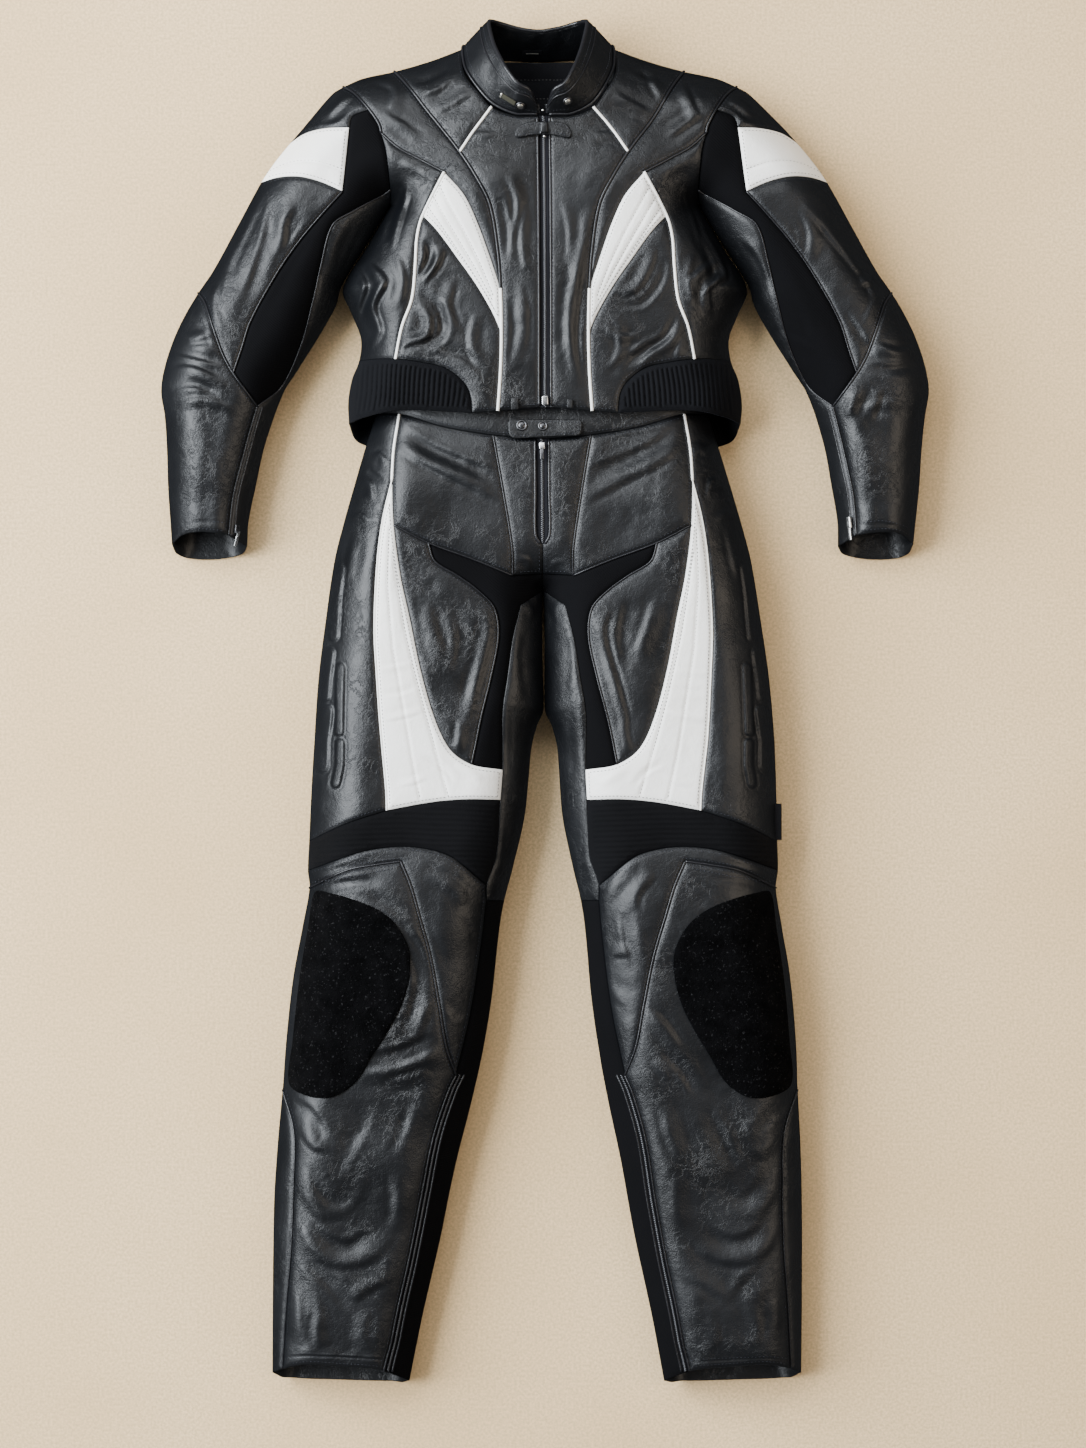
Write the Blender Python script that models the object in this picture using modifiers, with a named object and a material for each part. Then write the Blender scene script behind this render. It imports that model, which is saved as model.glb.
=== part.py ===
"""Two-piece leather motorcycle race suit, zipped closed and laid flat on its back.

Every panel is drawn on the plan (u outward from the centre line, v towards the collar)
as a loop of seams, filled with triangles, and lifted onto one smooth form of the
stuffed-looking but empty garment. A wall of the panel's own thickness is then made
inwards, so that neighbours butt at their seams. All tables are in millimetres.
"""
import math

import bmesh
import bpy
import numpy as np
from mathutils import Matrix, Vector
from mathutils.geometry import delaunay_2d_cdt

MM = 0.001
SEAM_HALF_GAP = 0.16      # each panel stops this far short of its seam
EDGE_HALF_GAP = 0.09      # and this far short of a seam on the side edge, where the form is steep
SEAM_STEP = 27.0          # spacing of the points along a seam
TOP_GRID = 42.0           # spacing of the points inside a panel that faces up
BACK_GRID = 78.0          # and of one that lies on the floor
EDGE_ROW = 8.0            # first row of points in from a side edge
CLEAR = 0.35              # gap between a panel and what lies on it
LEATHER = 2.0             # cowhide with its lining
STRETCH = 1.5             # aramid stretch fabric
KNIT = 3.0                # ribbed waist knit
FOLDED = 4.0              # collar: two leathers and their filling

# Form of the garment: side edges stand at EDGE_SHARE of the height, the top rises over
# "reach" from them, and the underside falls to the floor over BACK_REACH.
EDGE_SHARE = 0.42
ROUNDING = 2.3
BACK_REACH = 26.0
SPOT_POWER = 3.0
WAIST_LIFT = 7.0          # the trouser seat lies on the jacket's back hem
WAIST_LIFT_FROM = 225.0
WAIST_LIFT_TO = 272.0

ORIGIN = (2.2, -0.97)     # middle of the laid suit's box on the plan

# Where the centre line runs, at distances v along the suit: v, x
JACKET_LINE = [(718, -5.5), (677, -3.3), (631, 0.5), (549, 1.6), (440, 2.2), (320, 2.2), (173, -0.5)]
TROUSER_LINE = [(352, -1.6), (113, 0.0), (-40, 1.6), (-214, -0.5), (-378, -2.2), (-541, -5.5), (-748, -6.9)]

# Loft of the laid garment at a few spots: u, v, reach, height
JACKET_SPOTS = [
    (0, 640, 62, 98), (60, 560, 72, 106), (0, 450, 78, 104), (150, 500, 66, 98), (0, 330, 72, 97),
    (175, 330, 60, 92), (125, 670, 52, 82), (235, 610, 52, 82), (290, 480, 52, 80),
    (345, 375, 50, 78), (365, 280, 46, 72), (368, 190, 38, 62)]
TROUSER_SPOTS = [
    (0, 330, 62, 82), (150, 330, 55, 78), (0, 230, 70, 90), (150, 200, 68, 92), (50, 110, 60, 86),
    (130, 20, 70, 90), (140, -110, 70, 88), (150, -210, 68, 94), (180, -340, 64, 86),
    (190, -460, 60, 76), (205, -600, 56, 70), (215, -745, 54, 64)]

# Seams of one side of the jacket. A name is a point where seams meet.
JACKET_JOINS = {
    "neck": (84, 718), "yoke_top": (159, 694), "tip": (216, 677), "arm_b": (176, 618),
    "inner_top": (168, 560), "armpit": (169, 546), "stretch_top": (188, 644),
    "band_top": (278, 616), "band_bottom": (311, 572), "elbow_out": (381, 451), "cuff_out": (408, 175),
    "cuff_in": (325, 173), "band_in_top": (211, 625), "band_in_bottom": (219, 555),
    "elbow_mid": (339, 359), "zip_top": (314, 324), "zip_end": (343, 184),
    "rib_side": (204, 376), "rib_out": (215, 307), "rib_piping": (162, 373), "rib_hem": (79, 314),
    "rib_back_top": (112, 372), "rib_back_hem": (110, 282), "back_hem": (0, 281), "back_neck": (0, 710),
    "cross": (91, 596), "neck_piping": (55, 645), "chest_tip": (108, 574), "chest_corner": (132, 528),
    "strip_end": (48, 448), "chest_end": (47, 399), "hem_a": (51, 316), "hem_front": (5, 320),
    "neck_front": (5, 635)}
JACKET_SEAMS = {
    "shoulder": ["neck", (117, 706), "yoke_top", (195, 686), "tip"],
    "outer_arm": ["tip", (228, 670), (253, 644), "band_top", (296, 594), "band_bottom", (338, 523),
                  (364, 476), "elbow_out", (396, 426), (409, 398), (419, 366), (422, 342), (418, 316),
                  (415, 278), (413, 235), "cuff_out"],
    "inner_arm": ["armpit", (196.9, 501.5), (224, 456.5), (229, 438), (244, 410), (271, 367), (288, 340),
                  (307, 285), (316, 242), (324, 200), "cuff_in"],
    "flank": ["armpit", (195.1, 500.5), (221.8, 455), (212, 427), (202, 400), "rib_side", (212, 355),
              (216, 330), "rib_out"],
    "armhole": ["tip", (204, 666), "stretch_top", (178, 627), "arm_b", (171, 596), "inner_top", "armpit"],
    "armhole_back": ["tip", (190, 640), (173, 600), "armpit"],
    "neckline": ["neck", (81, 683), (64, 657), "neck_piping", (32, 636), "neck_front"],
    "neck_back": ["neck", (50, 711.5), "back_neck"],
    "princess": ["yoke_top", (141, 667), (122, 638), "cross", (73, 567), (59, 538), (51, 490),
                 "strip_end", "chest_end", (48, 360), "hem_a"],
    "collar_piping": ["neck_piping", (74, 621), "cross"],
    "bust": ["chest_tip", (137, 590), (158, 602), "arm_b"],
    "chest_inner": ["chest_tip", (87, 549), (73, 520), (62, 490), "strip_end"],
    "chest_outer": ["chest_corner", (115, 509), (94, 480), (75, 453), (57, 422), "chest_end"],
    "side_piping": ["chest_tip", "chest_corner", (138, 504), (140, 473), (144, 437), (155, 407),
                    "rib_piping"],
    "rib_top": ["rib_side", "rib_piping", (135, 369), (109, 363), (90, 349), (82, 336), "rib_hem"],
    "rib_bottom": ["rib_out", (200, 311), (153, 317), "rib_hem"],
    "rib_back_side": ["rib_side", "rib_back_top"],
    "rib_back_seam": ["rib_back_top", "rib_back_hem"],
    "rib_back_edge": ["rib_out", (211, 295), (203, 288), (188, 284), "rib_back_hem"],
    "back_edge": ["rib_back_hem", "back_hem"],
    "hem": ["rib_hem", "hem_a", "hem_front"],
    "zip_edge": ["hem_front", (5, 480), "neck_front"],
    "cap_edge": ["stretch_top", (207, 637), "band_in_top"],
    "band_upper": ["band_top", (261, 624), (238, 626), "band_in_top"],
    "band_lower": ["band_bottom", (293, 574), (266, 572), (241, 565), "band_in_bottom"],
    "band_inner": ["band_in_top", "band_in_bottom"],
    "arm_stretch": ["band_in_bottom", (240, 532), (267, 501), (291, 467), (320, 415), (330, 385),
                    "elbow_mid"],
    "elbow": ["elbow_out", (371, 437), (361, 409), (350, 379), "elbow_mid", "zip_top"],
    "arm_inner": ["inner_top", (209, 534), (230, 519), (243, 478), (253, 437), (267, 391), (289, 347),
                  "zip_top"],
    "cuff_zip": ["zip_top", (322, 296), (330, 264), (339, 224), "zip_end"],
    "cuff_front": ["cuff_out", (395, 184), (372, 187), "zip_end"],
    "cuff_zip_end": ["zip_end", "cuff_in"],
    "cuff_back": ["cuff_out", (405, 167), (392, 161), (360, 160), (331, 166), "cuff_in"]}

# Seams of one side of the trousers.
TROUSER_JOINS = {
    "waist_top": (170, 352), "waist_side": (182, 318), "acc_out": (257, -151), "roll_out": (258, -183),
    "band_out": (256, -202), "calf_top": (283, -424), "ankle_out": (291, -736), "waist_front": (0, 330),
    "waist_back": (0, 345), "seat_top": (0, 314), "crotch": (0, 124), "tip": (42, -216),
    "ankle_in": (140, -745), "waist_piping": (155, 315), "waist_c": (53, 291), "fly_top": (6, 287),
    "c_end": (33, 139), "fly_end": (0, 172), "fly_low": (0, 141), "piping_tip": (163, 242),
    "d_start": (161, 193), "v_tip": (124, 174), "white_in": (79, -66), "white_r": (45, -72),
    "acc_r": (47, -105), "roll_in": (61, -198), "tip_in": (61, -215), "white_out": (170, -116),
    "inner_top": (24, 107), "e_top": (154, -171), "h_top": (92, -405), "h_end": (167, -741),
    "g_end": (279, -735)}
TROUSER_SEAMS = {
    "outseam": ["waist_top", "waist_side", (193, 284), (202, 254), (219, 195), (229, 155), (240, 83),
                (247, 31), (252, -31), (255, -90), "acc_out", "roll_out", "band_out", (263, -244),
                (273, -301), (280, -370), "calf_top", (287, -480), (290, -543), (291, -640), "ankle_out"],
    "inseam": ["crotch", (1.2, 100), (1.2, 45), (1.2, -8), (8, -24), (14, -48), (17, -83), (21, -125),
               (33, -180), "tip", (47, -248), (55, -326), (65, -389), (75, -437), (91, -506), (107, -588),
               (126, -673), "ankle_in"],
    "waist_edge": ["waist_top", (90, 340), "waist_front"],
    "waist_edge_back": ["waist_top", (90, 347), "waist_back"],
    "waist_seam": ["waist_side", "waist_piping", (106, 300), "waist_c", "fly_top"],
    "seat_seam": ["waist_side", (90, 315), "seat_top"],
    "centre_back": ["seat_top", (0, 220), "crotch"],
    "fly": ["fly_top", (6, 230), (6, 182), "fly_end"],
    "centre_low": ["fly_end", "fly_low", "crotch"],
    "seam_c": ["waist_c", (42, 227), (33, 167), "c_end"],
    "seam_c_foot": ["c_end", "fly_low"],
    "seam_d": ["d_start", "v_tip", (75, 156), "c_end"],
    "side_piping": ["waist_piping", (161, 276), "piping_tip"],
    "white_outer": ["piping_tip", (173, 200), (179, 156), (183, 83), (181, 31), (177, -34), (171, -94),
                    "white_out"],
    "white_inner": ["piping_tip", "d_start", (154, 138), (145, 95), (133, 35), (118, -18), (102, -50),
                    "white_in", "white_r"],
    "white_foot": ["white_out", (120, -107), (83, -104), "acc_r"],
    "thigh_edge": ["v_tip", (117, 154), (92, 138), (69, 121), (53, 103), (49, 74), (57, 31), (69, -17),
                   "white_in"],
    "crotch_edge": ["crotch", "inner_top"],
    "inner_edge": ["inner_top", (33, 71), (39, 31), (45, -10), "white_r", "acc_r", (51, -167), "roll_in",
                   "tip_in"],
    "tip_edge": ["tip_in", "tip"],
    "acc_top": ["acc_out", (215, -131), "white_out"],
    "roll": ["roll_out", (216, -167), (184, -158), (152, -155), (124, -158), (98, -167), "roll_in"],
    "band": ["band_out", (213, -181), (183, -175), "e_top"],
    "seam_e": ["e_top", (143, -197), (133, -231), (121, -274), (111, -327), (103, -373), "h_top"],
    "strip_edge": ["tip_in", (66, -262), (77, -338), "h_top"],
    "seam_h": ["h_top", (101, -425), (116, -475), (128, -542), (141, -610), (153, -665), "h_end"],
    "seam_g": ["calf_top", (268, -468), (267, -522), (269, -592), (275, -664), "g_end"],
    "ankle_front": ["g_end", (252, -734), (207, -738), "h_end"],
    "ankle_gusset": ["h_end", "ankle_in"],
    "ankle_calf": ["g_end", "ankle_out"],
    "ankle_back": ["ankle_out", (280, -745), (224, -748.5), (150, -749.5), "ankle_in"]}
SIDE_EDGES = {"shoulder", "outer_arm", "inner_arm", "flank", "outseam", "inseam"}

COLLAR_FRONT_ROWS = 8     # rows before the shoulder seam, which start on the front's form
COLLAR_BULGE = 2.5
COLLAR_WALL_SIDE = -1

# Panels of one side: node, garment, material, wall, then its patches. A patch faces up or
# lies at the back, and lists its seams in order; "=" marks the side edge over which the
# panel wraps from one patch into the other.
SIDE_PANELS = [
    ("jacket_front", "jacket", "leather_black", LEATHER, [("up",
        "neckline neck_front neck_piping, collar_piping neck_piping cross, princess cross hem_a, "
        "hem hem_a hem_front, zip_edge hem_front neck_front")]),
    ("jacket_yoke", "jacket", "leather_black", LEATHER, [("up",
        "shoulder neck yoke_top, princess yoke_top cross, collar_piping cross neck_piping, "
        "neckline neck_piping neck")]),
    ("jacket_shoulder", "jacket", "leather_black", LEATHER, [("up",
        "shoulder yoke_top tip, armhole tip arm_b, bust arm_b chest_tip, "
        "chest_inner chest_tip strip_end, princess strip_end yoke_top")]),
    ("chest_flash", "jacket", "leather_white", LEATHER, [("up",
        "chest_inner chest_tip strip_end, princess strip_end chest_end, "
        "chest_outer chest_end chest_corner, side_piping chest_corner chest_tip")]),
    ("jacket_lower_front", "jacket", "leather_black", LEATHER, [("up",
        "chest_outer chest_corner chest_end, princess chest_end hem_a, hem hem_a rib_hem, "
        "rib_top rib_hem rib_piping, side_piping rib_piping chest_corner")]),
    ("jacket_side", "jacket", "leather_black", LEATHER, [("up",
        "armhole arm_b armpit, flank armpit rib_side, rib_top rib_side rib_piping, "
        "side_piping rib_piping chest_tip, bust chest_tip arm_b")]),
    ("jacket_rib", "jacket", "rib_knit", KNIT, [
        ("up", "rib_top rib_side rib_hem, rib_bottom rib_hem rib_out, =flank rib_out rib_side"),
        ("back", "=flank rib_side rib_out, rib_back_edge rib_out rib_back_hem, "
                 "rib_back_seam rib_back_hem rib_back_top, rib_back_side rib_back_top rib_side")]),
    ("sleeve_cap", "jacket", "leather_black", LEATHER, [("up",
        "outer_arm tip band_top, band_upper band_top band_in_top, cap_edge band_in_top stretch_top, "
        "armhole stretch_top tip")]),
    ("sleeve_band", "jacket", "leather_white", LEATHER, [("up",
        "outer_arm band_top band_bottom, band_lower band_bottom band_in_bottom, "
        "band_inner band_in_bottom band_in_top, band_upper band_in_top band_top")]),
    ("sleeve_upper", "jacket", "leather_black", LEATHER, [("up",
        "outer_arm band_bottom elbow_out, elbow elbow_out elbow_mid, "
        "arm_stretch elbow_mid band_in_bottom, band_lower band_in_bottom band_bottom")]),
    ("sleeve_stretch", "jacket", "stretch_fabric", STRETCH, [("up",
        "cap_edge stretch_top band_in_top, band_inner band_in_top band_in_bottom, "
        "arm_stretch band_in_bottom elbow_mid, elbow elbow_mid zip_top, arm_inner zip_top inner_top, "
        "armhole inner_top stretch_top")]),
    ("sleeve_under", "jacket", "leather_black", LEATHER, [
        ("up", "armhole inner_top armpit, =inner_arm armpit cuff_in, cuff_zip_end cuff_in zip_end, "
               "cuff_zip zip_end zip_top, arm_inner zip_top inner_top"),
        ("back", "=inner_arm armpit cuff_in, cuff_back cuff_in cuff_out, outer_arm cuff_out tip, "
                 "armhole_back tip armpit")]),
    ("sleeve_forearm", "jacket", "leather_black", LEATHER, [("up",
        "elbow elbow_out zip_top, cuff_zip zip_top zip_end, cuff_front zip_end cuff_out, "
        "outer_arm cuff_out elbow_out")]),
    ("trouser_front", "trousers", "leather_black", LEATHER, [("up",
        "waist_seam waist_c fly_top, fly fly_top fly_end, centre_low fly_end fly_low, "
        "seam_c_foot fly_low c_end, seam_c c_end waist_c")]),
    ("trouser_hip", "trousers", "leather_black", LEATHER, [("up",
        "waist_seam waist_piping waist_c, seam_c waist_c c_end, seam_d c_end d_start, "
        "white_inner d_start piping_tip, side_piping piping_tip waist_piping")]),
    ("trouser_thigh", "trousers", "leather_black", LEATHER, [("up",
        "seam_d d_start v_tip, thigh_edge v_tip white_in, white_inner white_in d_start")]),
    ("trouser_stretch", "trousers", "stretch_fabric", STRETCH, [("up",
        "seam_d v_tip c_end, seam_c_foot c_end fly_low, centre_low fly_low crotch, "
        "crotch_edge crotch inner_top, inner_edge inner_top white_r, white_inner white_r white_in, "
        "thigh_edge white_in v_tip")]),
    ("thigh_flash", "trousers", "leather_white", LEATHER, [("up",
        "white_outer piping_tip white_out, white_foot white_out acc_r, inner_edge acc_r white_r, "
        "white_inner white_r piping_tip")]),
    ("trouser_side", "trousers", "leather_black", LEATHER, [("up",
        "waist_seam waist_piping waist_side, outseam waist_side acc_out, acc_top acc_out white_out, "
        "white_outer white_out piping_tip, side_piping piping_tip waist_piping")]),
    ("knee_pleats", "trousers", "leather_black", LEATHER, [("up",
        "acc_top acc_out white_out, white_foot white_out acc_r, inner_edge acc_r roll_in, "
        "roll roll_in roll_out, outseam roll_out acc_out")]),
    ("knee_panel", "trousers", "leather_black", LEATHER, [("up",
        "roll roll_out roll_in, inner_edge roll_in tip_in, strip_edge tip_in h_top, "
        "seam_e h_top e_top, band e_top band_out, outseam band_out roll_out")]),
    ("calf_stretch", "trousers", "stretch_fabric", STRETCH, [("up",
        "tip_edge tip_in tip, inseam tip ankle_in, ankle_gusset ankle_in h_end, "
        "seam_h h_end h_top, strip_edge h_top tip_in")]),
    ("shin_panel", "trousers", "leather_black", LEATHER, [("up",
        "band band_out e_top, seam_e e_top h_top, seam_h h_top h_end, ankle_front h_end g_end, "
        "seam_g g_end calf_top, outseam calf_top band_out")]),
    ("leg_back", "trousers", "leather_black", LEATHER, [
        ("up", "crotch_edge crotch inner_top, inner_edge inner_top tip_in, tip_edge tip_in tip, "
               "=inseam tip crotch"),
        ("up", "seam_g calf_top g_end, ankle_calf g_end ankle_out, =outseam ankle_out calf_top"),
        ("back", "outseam waist_side calf_top, =outseam calf_top ankle_out, ankle_back ankle_out ankle_in, "
                 "inseam ankle_in tip, =inseam tip crotch, centre_back crotch seat_top, "
                 "seat_seam seat_top waist_side")])]

# Panels that cross the centre line: the wearer's right half is listed, from the middle of
# one end to the middle of the other.
CENTRE_PANELS = [
    ("jacket_back", "jacket", "leather_black", LEATHER, [("back",
        "neck_back back_neck neck, shoulder neck tip, armhole_back tip armpit, flank armpit rib_side, "
        "rib_back_side rib_side rib_back_top, rib_back_seam rib_back_top rib_back_hem, "
        "back_edge rib_back_hem back_hem")]),
    ("waistband", "trousers", "leather_black", LEATHER, [
        ("up", "waist_edge waist_front waist_top, =outseam waist_top waist_side, "
               "waist_seam waist_side fly_top"),
        ("back", "waist_edge_back waist_back waist_top, =outseam waist_top waist_side, "
                 "seat_seam waist_side seat_top")])]

# Knee slider pad: its outline on the shin, from its top outer corner and round.
SLIDER_OUTLINE = [
    (249, -206), (233, -206), (206, -212), (177, -224), (157, -241), (144, -267), (143, -291), (150, -321),
    (163, -349), (183, -382), (201, -411), (225, -427), (253, -427), (275, -416), (272, -370), (265, -301),
    (256, -244)]
SLIDER_THICK = 3.0

# Tabs, drawn whole from the centre line: the bow that parks the front zip, and the waist tab.
TAB_THICK = 1.8
WAIST_TAB_LIFT = 3.3      # its outer face stands this far off the form
COLLAR_TAB = [(0, 627), (-12, 628), (-24, 625), (-31, 618), (-30, 610), (-14, 613), (0, 614),
              (14, 613), (28, 609), (31, 617), (24, 626), (12, 628)]
WAIST_TAB = [(-36, 308), (-36, 292), (-31, 286.5), (0, 288.5), (42, 290), (44, 307)]

# Small hard pieces: width, length and height in their own frame
ZIP_THICK = 1.6
ZIP_SLIDER_SPOT = (0, 620.5)
ZIP_SLIDER_SIZE = (8.0, 12.0, 2.6)
CUFF_SLIDER_SPOT = (336, 191)
CUFF_ZIP_HEADING = (0.12, -1.0)
SLIDER_SIZE = (6.4, 9.0, 2.4)
SLIDER_BEVEL, ZIP_SLIDER_BEVEL = 0.4, 0.8
LUG_WIDTH, LUG_LENGTH, LUG_HIGH, LUG_SUNK = 1.0, 2.4, 2.4, 0.3
PULL_AXIS = (3.2, 4.4)    # along and above the slider's own frame
PULL_WIDTH, PULL_LENGTH, PULL_THICK, PULL_RIM = 3.6, 17.0, 1.2, 1.1
PULL_DROOP = 12.0         # degrees below the zip's own line, as it hangs

# Collar: bottom on the neck seam and top edge, from the front end round to the middle of the
# back. The bottom edge's height comes from the form, the top edge's is given.
COLLAR_ROWS = [
    # bottom u, v   top u, v, z
    (5.0, 636.5, 5, 645, 103),
    (18, 636.8, 13, 657, 122),
    (31, 637.5, 26, 663, 127),
    (52.5, 648, 37, 680, 122),
    (66, 663.5, 43, 694, 113),
    (78.5, 685.5, 49, 712, 98),
    (82, 702, 53, 729, 81),
    (82, 720, 55, 744, 62),
    (76, 723, 51, 748, 48),
    (66, 721, 43, 748, 38),
    (45, 716.5, 27, 744, 33),
    (20, 714.5, 12, 741, 32),
    (0, 714, 0, 740, 31)]


def smooth_step(x):
    x = np.clip(x, 0.0, 1.0)
    return x * x * (3.0 - 2.0 * x)


def line_x(line, v):
    """x of the centre line at v."""
    vs, xs = zip(*reversed(line))
    return np.interp(v, vs, xs)


def curve_points(seam, joins):
    """Points along a seam, with the place of each named point among them."""
    controls = [joins[row] if isinstance(row, str) else row for row in seam]
    points = np.array(controls, float)
    ahead = np.vstack([2 * points[0] - points[1], points, 2 * points[-1] - points[-2]])
    out, places = [], {}
    for i in range(len(points) - 1):
        if isinstance(seam[i], str):
            places[seam[i]] = len(out)
        p0, p1, p2, p3 = ahead[i:i + 4]
        chord = np.linalg.norm(p2 - p1)
        tangent_1 = (p2 - p0) * chord / (np.linalg.norm(p2 - p1) + np.linalg.norm(p1 - p0))
        tangent_2 = (p3 - p1) * chord / (np.linalg.norm(p3 - p2) + np.linalg.norm(p2 - p1))
        count = max(1, round(chord / SEAM_STEP))
        for k in range(count):
            t = k / count
            out.append((2 * t**3 - 3 * t**2 + 1) * p1 + (t**3 - 2 * t**2 + t) * tangent_1
                       + (3 * t**2 - 2 * t**3) * p2 + (t**3 - t**2) * tangent_2)
    places[seam[-1]] = len(out)
    out.append(points[-1])
    return np.array(out), places


class Garment:
    """The plan and the form of the jacket or of the trousers."""

    def __init__(self, name, joins, seams, line, spots, edges):
        self.name, self.line = name, line
        self.seams = {key: curve_points(seam, joins) for key, seam in seams.items()}
        rows = np.array(spots, float)
        places, values = [], []
        for side in (-1, 1):
            places.append(self.place(rows[:, :2], side))
            values.append(rows[:, 2:])
        self.spots, self.values = np.vstack(places), np.vstack(values)
        starts, ends = [], []
        for key in edges:
            for side in (-1, 1):
                run = self.place(self.seams[key][0], side)
                starts.append(run[:-1])
                ends.append(run[1:])
        self.starts, self.ends = np.vstack(starts), np.vstack(ends)
        for key in self.seams:
            if key not in SIDE_EDGES:
                self.seams[key] = self.closer_at_edges(*self.seams[key])

    def closer_at_edges(self, run, places):
        """The seam with one more point just before each end that meets a side edge."""
        if self.edge_distance(self.place(run[-1], 1))[0] < 0.5 and (
                np.linalg.norm(run[-1] - run[-2]) > 2 * EDGE_ROW):
            step = run[-2] - run[-1]
            extra = run[-1] + step * EDGE_ROW / np.linalg.norm(step)
            run = np.vstack([run[:-1], extra, run[-1:]])
            places = {name: at + (at == len(run) - 2) for name, at in places.items()}
        if self.edge_distance(self.place(run[0], 1))[0] < 0.5 and (
                np.linalg.norm(run[1] - run[0]) > 2 * EDGE_ROW):
            step = run[1] - run[0]
            extra = run[0] + step * EDGE_ROW / np.linalg.norm(step)
            run = np.vstack([run[:1], extra, run[1:]])
            places = {name: at + (at > 0) for name, at in places.items()}
        return run, places

    def place(self, uv, side):
        """Plan position (x, y) of points (u, v) on one side: -1 is the wearer's right."""
        uv = np.atleast_2d(np.asarray(uv, float))
        x = line_x(self.line, uv[:, 1]) + side * uv[:, 0]
        return np.column_stack([x, uv[:, 1]]) - ORIGIN

    def edge_distance(self, xy):
        """Distance in plan from the nearest side edge."""
        along = self.ends - self.starts
        length = (along**2).sum(1)
        offset = xy[:, None, :] - self.starts[None]
        share = np.clip((offset * along[None]).sum(2) / length, 0, 1)
        return np.sqrt(((offset - share[..., None] * along[None])**2).sum(2).min(1))

    def loft(self, xy):
        """Reach and height of the form here, blended from the spots."""
        gap = np.sqrt(((xy[:, None, :] - self.spots[None])**2).sum(2)) + 25.0
        weight = gap**-SPOT_POWER
        return (weight @ self.values / weight.sum(1)[:, None]).T

    def height(self, xy, facing):
        xy = np.atleast_2d(xy)
        distance = self.edge_distance(xy)
        reach, height = self.loft(xy)
        edge = EDGE_SHARE * height
        if facing == "up":
            return edge + (height - edge) * (1 - (1 - np.clip(distance / reach, 0, 1))**ROUNDING)
        low = edge * (1 - np.clip(distance / BACK_REACH, 0, 1))**ROUNDING
        if self.name == "trousers":
            low = low + WAIST_LIFT * smooth_step(
                (xy[:, 1] - WAIST_LIFT_FROM) / (WAIST_LIFT_TO - WAIST_LIFT_FROM)) * (1 - low / edge)
        return low

    def normal(self, xy, facing):
        xy = np.atleast_2d(xy)
        step = 0.8
        slope = np.column_stack([
            (self.height(xy + offset, facing) - self.height(xy - offset, facing)) / (2 * step)
            for offset in ((step, 0), (0, step))])
        sign = 1.0 if facing == "up" else -1.0
        out = np.column_stack([-sign * slope, np.full(len(xy), sign)])
        out /= np.linalg.norm(out, axis=1)[:, None]
        return out


JACKET = Garment("jacket", JACKET_JOINS, JACKET_SEAMS, JACKET_LINE, JACKET_SPOTS,
                 ("shoulder", "outer_arm", "inner_arm", "flank"))
TROUSERS = Garment("trousers", TROUSER_JOINS, TROUSER_SEAMS, TROUSER_LINE, TROUSER_SPOTS,
                   ("outseam", "inseam"))
GARMENTS = {"jacket": JACKET, "trousers": TROUSERS}


def read_loop(garment, text, side):
    """A patch's outline on the plan: its points, each one's gap for the side it starts, whether that
    side is a side edge, the direction of the side edge through it (zero elsewhere), and the last point."""
    points, gaps, edges, directions = [], [], [], {}
    for item in text.split(","):
        key, start, end = item.split()
        wraps = key.startswith("=")
        key = key.lstrip("=")
        run, places = garment.seams[key]
        a, b = places[start], places[end]
        step = 1 if a < b else -1
        order = list(range(a, b + step, step))
        placed = garment.place(run, side)
        is_edge = key in SIDE_EDGES
        if is_edge:
            ahead = np.vstack([2 * placed[0] - placed[1], placed, 2 * placed[-1] - placed[-2]])
            for k, at in enumerate(order):
                directions[len(points) + k] = ahead[at + 2] - ahead[at]
        gap = 0.0 if wraps else EDGE_HALF_GAP if is_edge else SEAM_HALF_GAP
        points.extend(placed[order[:-1]])
        gaps.extend([gap] * (len(order) - 1))
        edges.extend([is_edge] * (len(order) - 1))
        last = placed[order[-1]]
    along = np.zeros((len(points), 2))
    for at, direction in directions.items():
        along[at % len(points)] = direction
    return np.array(points), np.array(gaps), np.array(edges), along, last


def level_normals(outline, edges, along):
    """Outward level normals of the outline's points that lie on a side edge."""
    following = np.roll(outline, -1, 0)
    area = (outline[:, 0] * following[:, 1] - following[:, 0] * outline[:, 1]).sum()
    side = following - outline
    side = np.where(edges[:, None], side, np.roll(side, 1, 0))
    outward = np.column_stack([side[:, 1], -side[:, 0]]) * np.sign(area)
    across = np.column_stack([along[:, 1], -along[:, 0]])
    length = np.linalg.norm(across, axis=1)
    across *= np.sign((across * outward).sum(1))[:, None]
    return across / np.where(length > 0, length, 1)[:, None], length > 0


def pull_in(points, gaps):
    """Each side of the outline moved inwards by its gap, with mitred corners."""
    following = np.roll(points, -1, 0)
    area = (points[:, 0] * following[:, 1] - following[:, 0] * points[:, 1]).sum()
    along = following - points
    along /= np.linalg.norm(along, axis=1)[:, None]
    inward = np.column_stack([-along[:, 1], along[:, 0]]) * np.sign(area)
    before, gap_before = np.roll(inward, 1, 0), np.roll(gaps, 1)
    out = points.copy()
    for i, point in enumerate(points):
        n1, n2, g1, g2 = before[i], inward[i], gap_before[i], gaps[i]
        cross = n1[0] * n2[1] - n1[1] * n2[0]
        if abs(cross) < 0.12:
            out[i] = point + (n1 + n2) / np.linalg.norm(n1 + n2 + 1e-9) * (g1 + g2) / 2
        else:
            move = np.array([g1 * n2[1] - g2 * n1[1], g2 * n1[0] - g1 * n2[0]]) / cross
            most = 10 * SEAM_HALF_GAP
            out[i] = point + move * min(1.0, most / (np.linalg.norm(move) + 1e-9))
    return out


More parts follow.
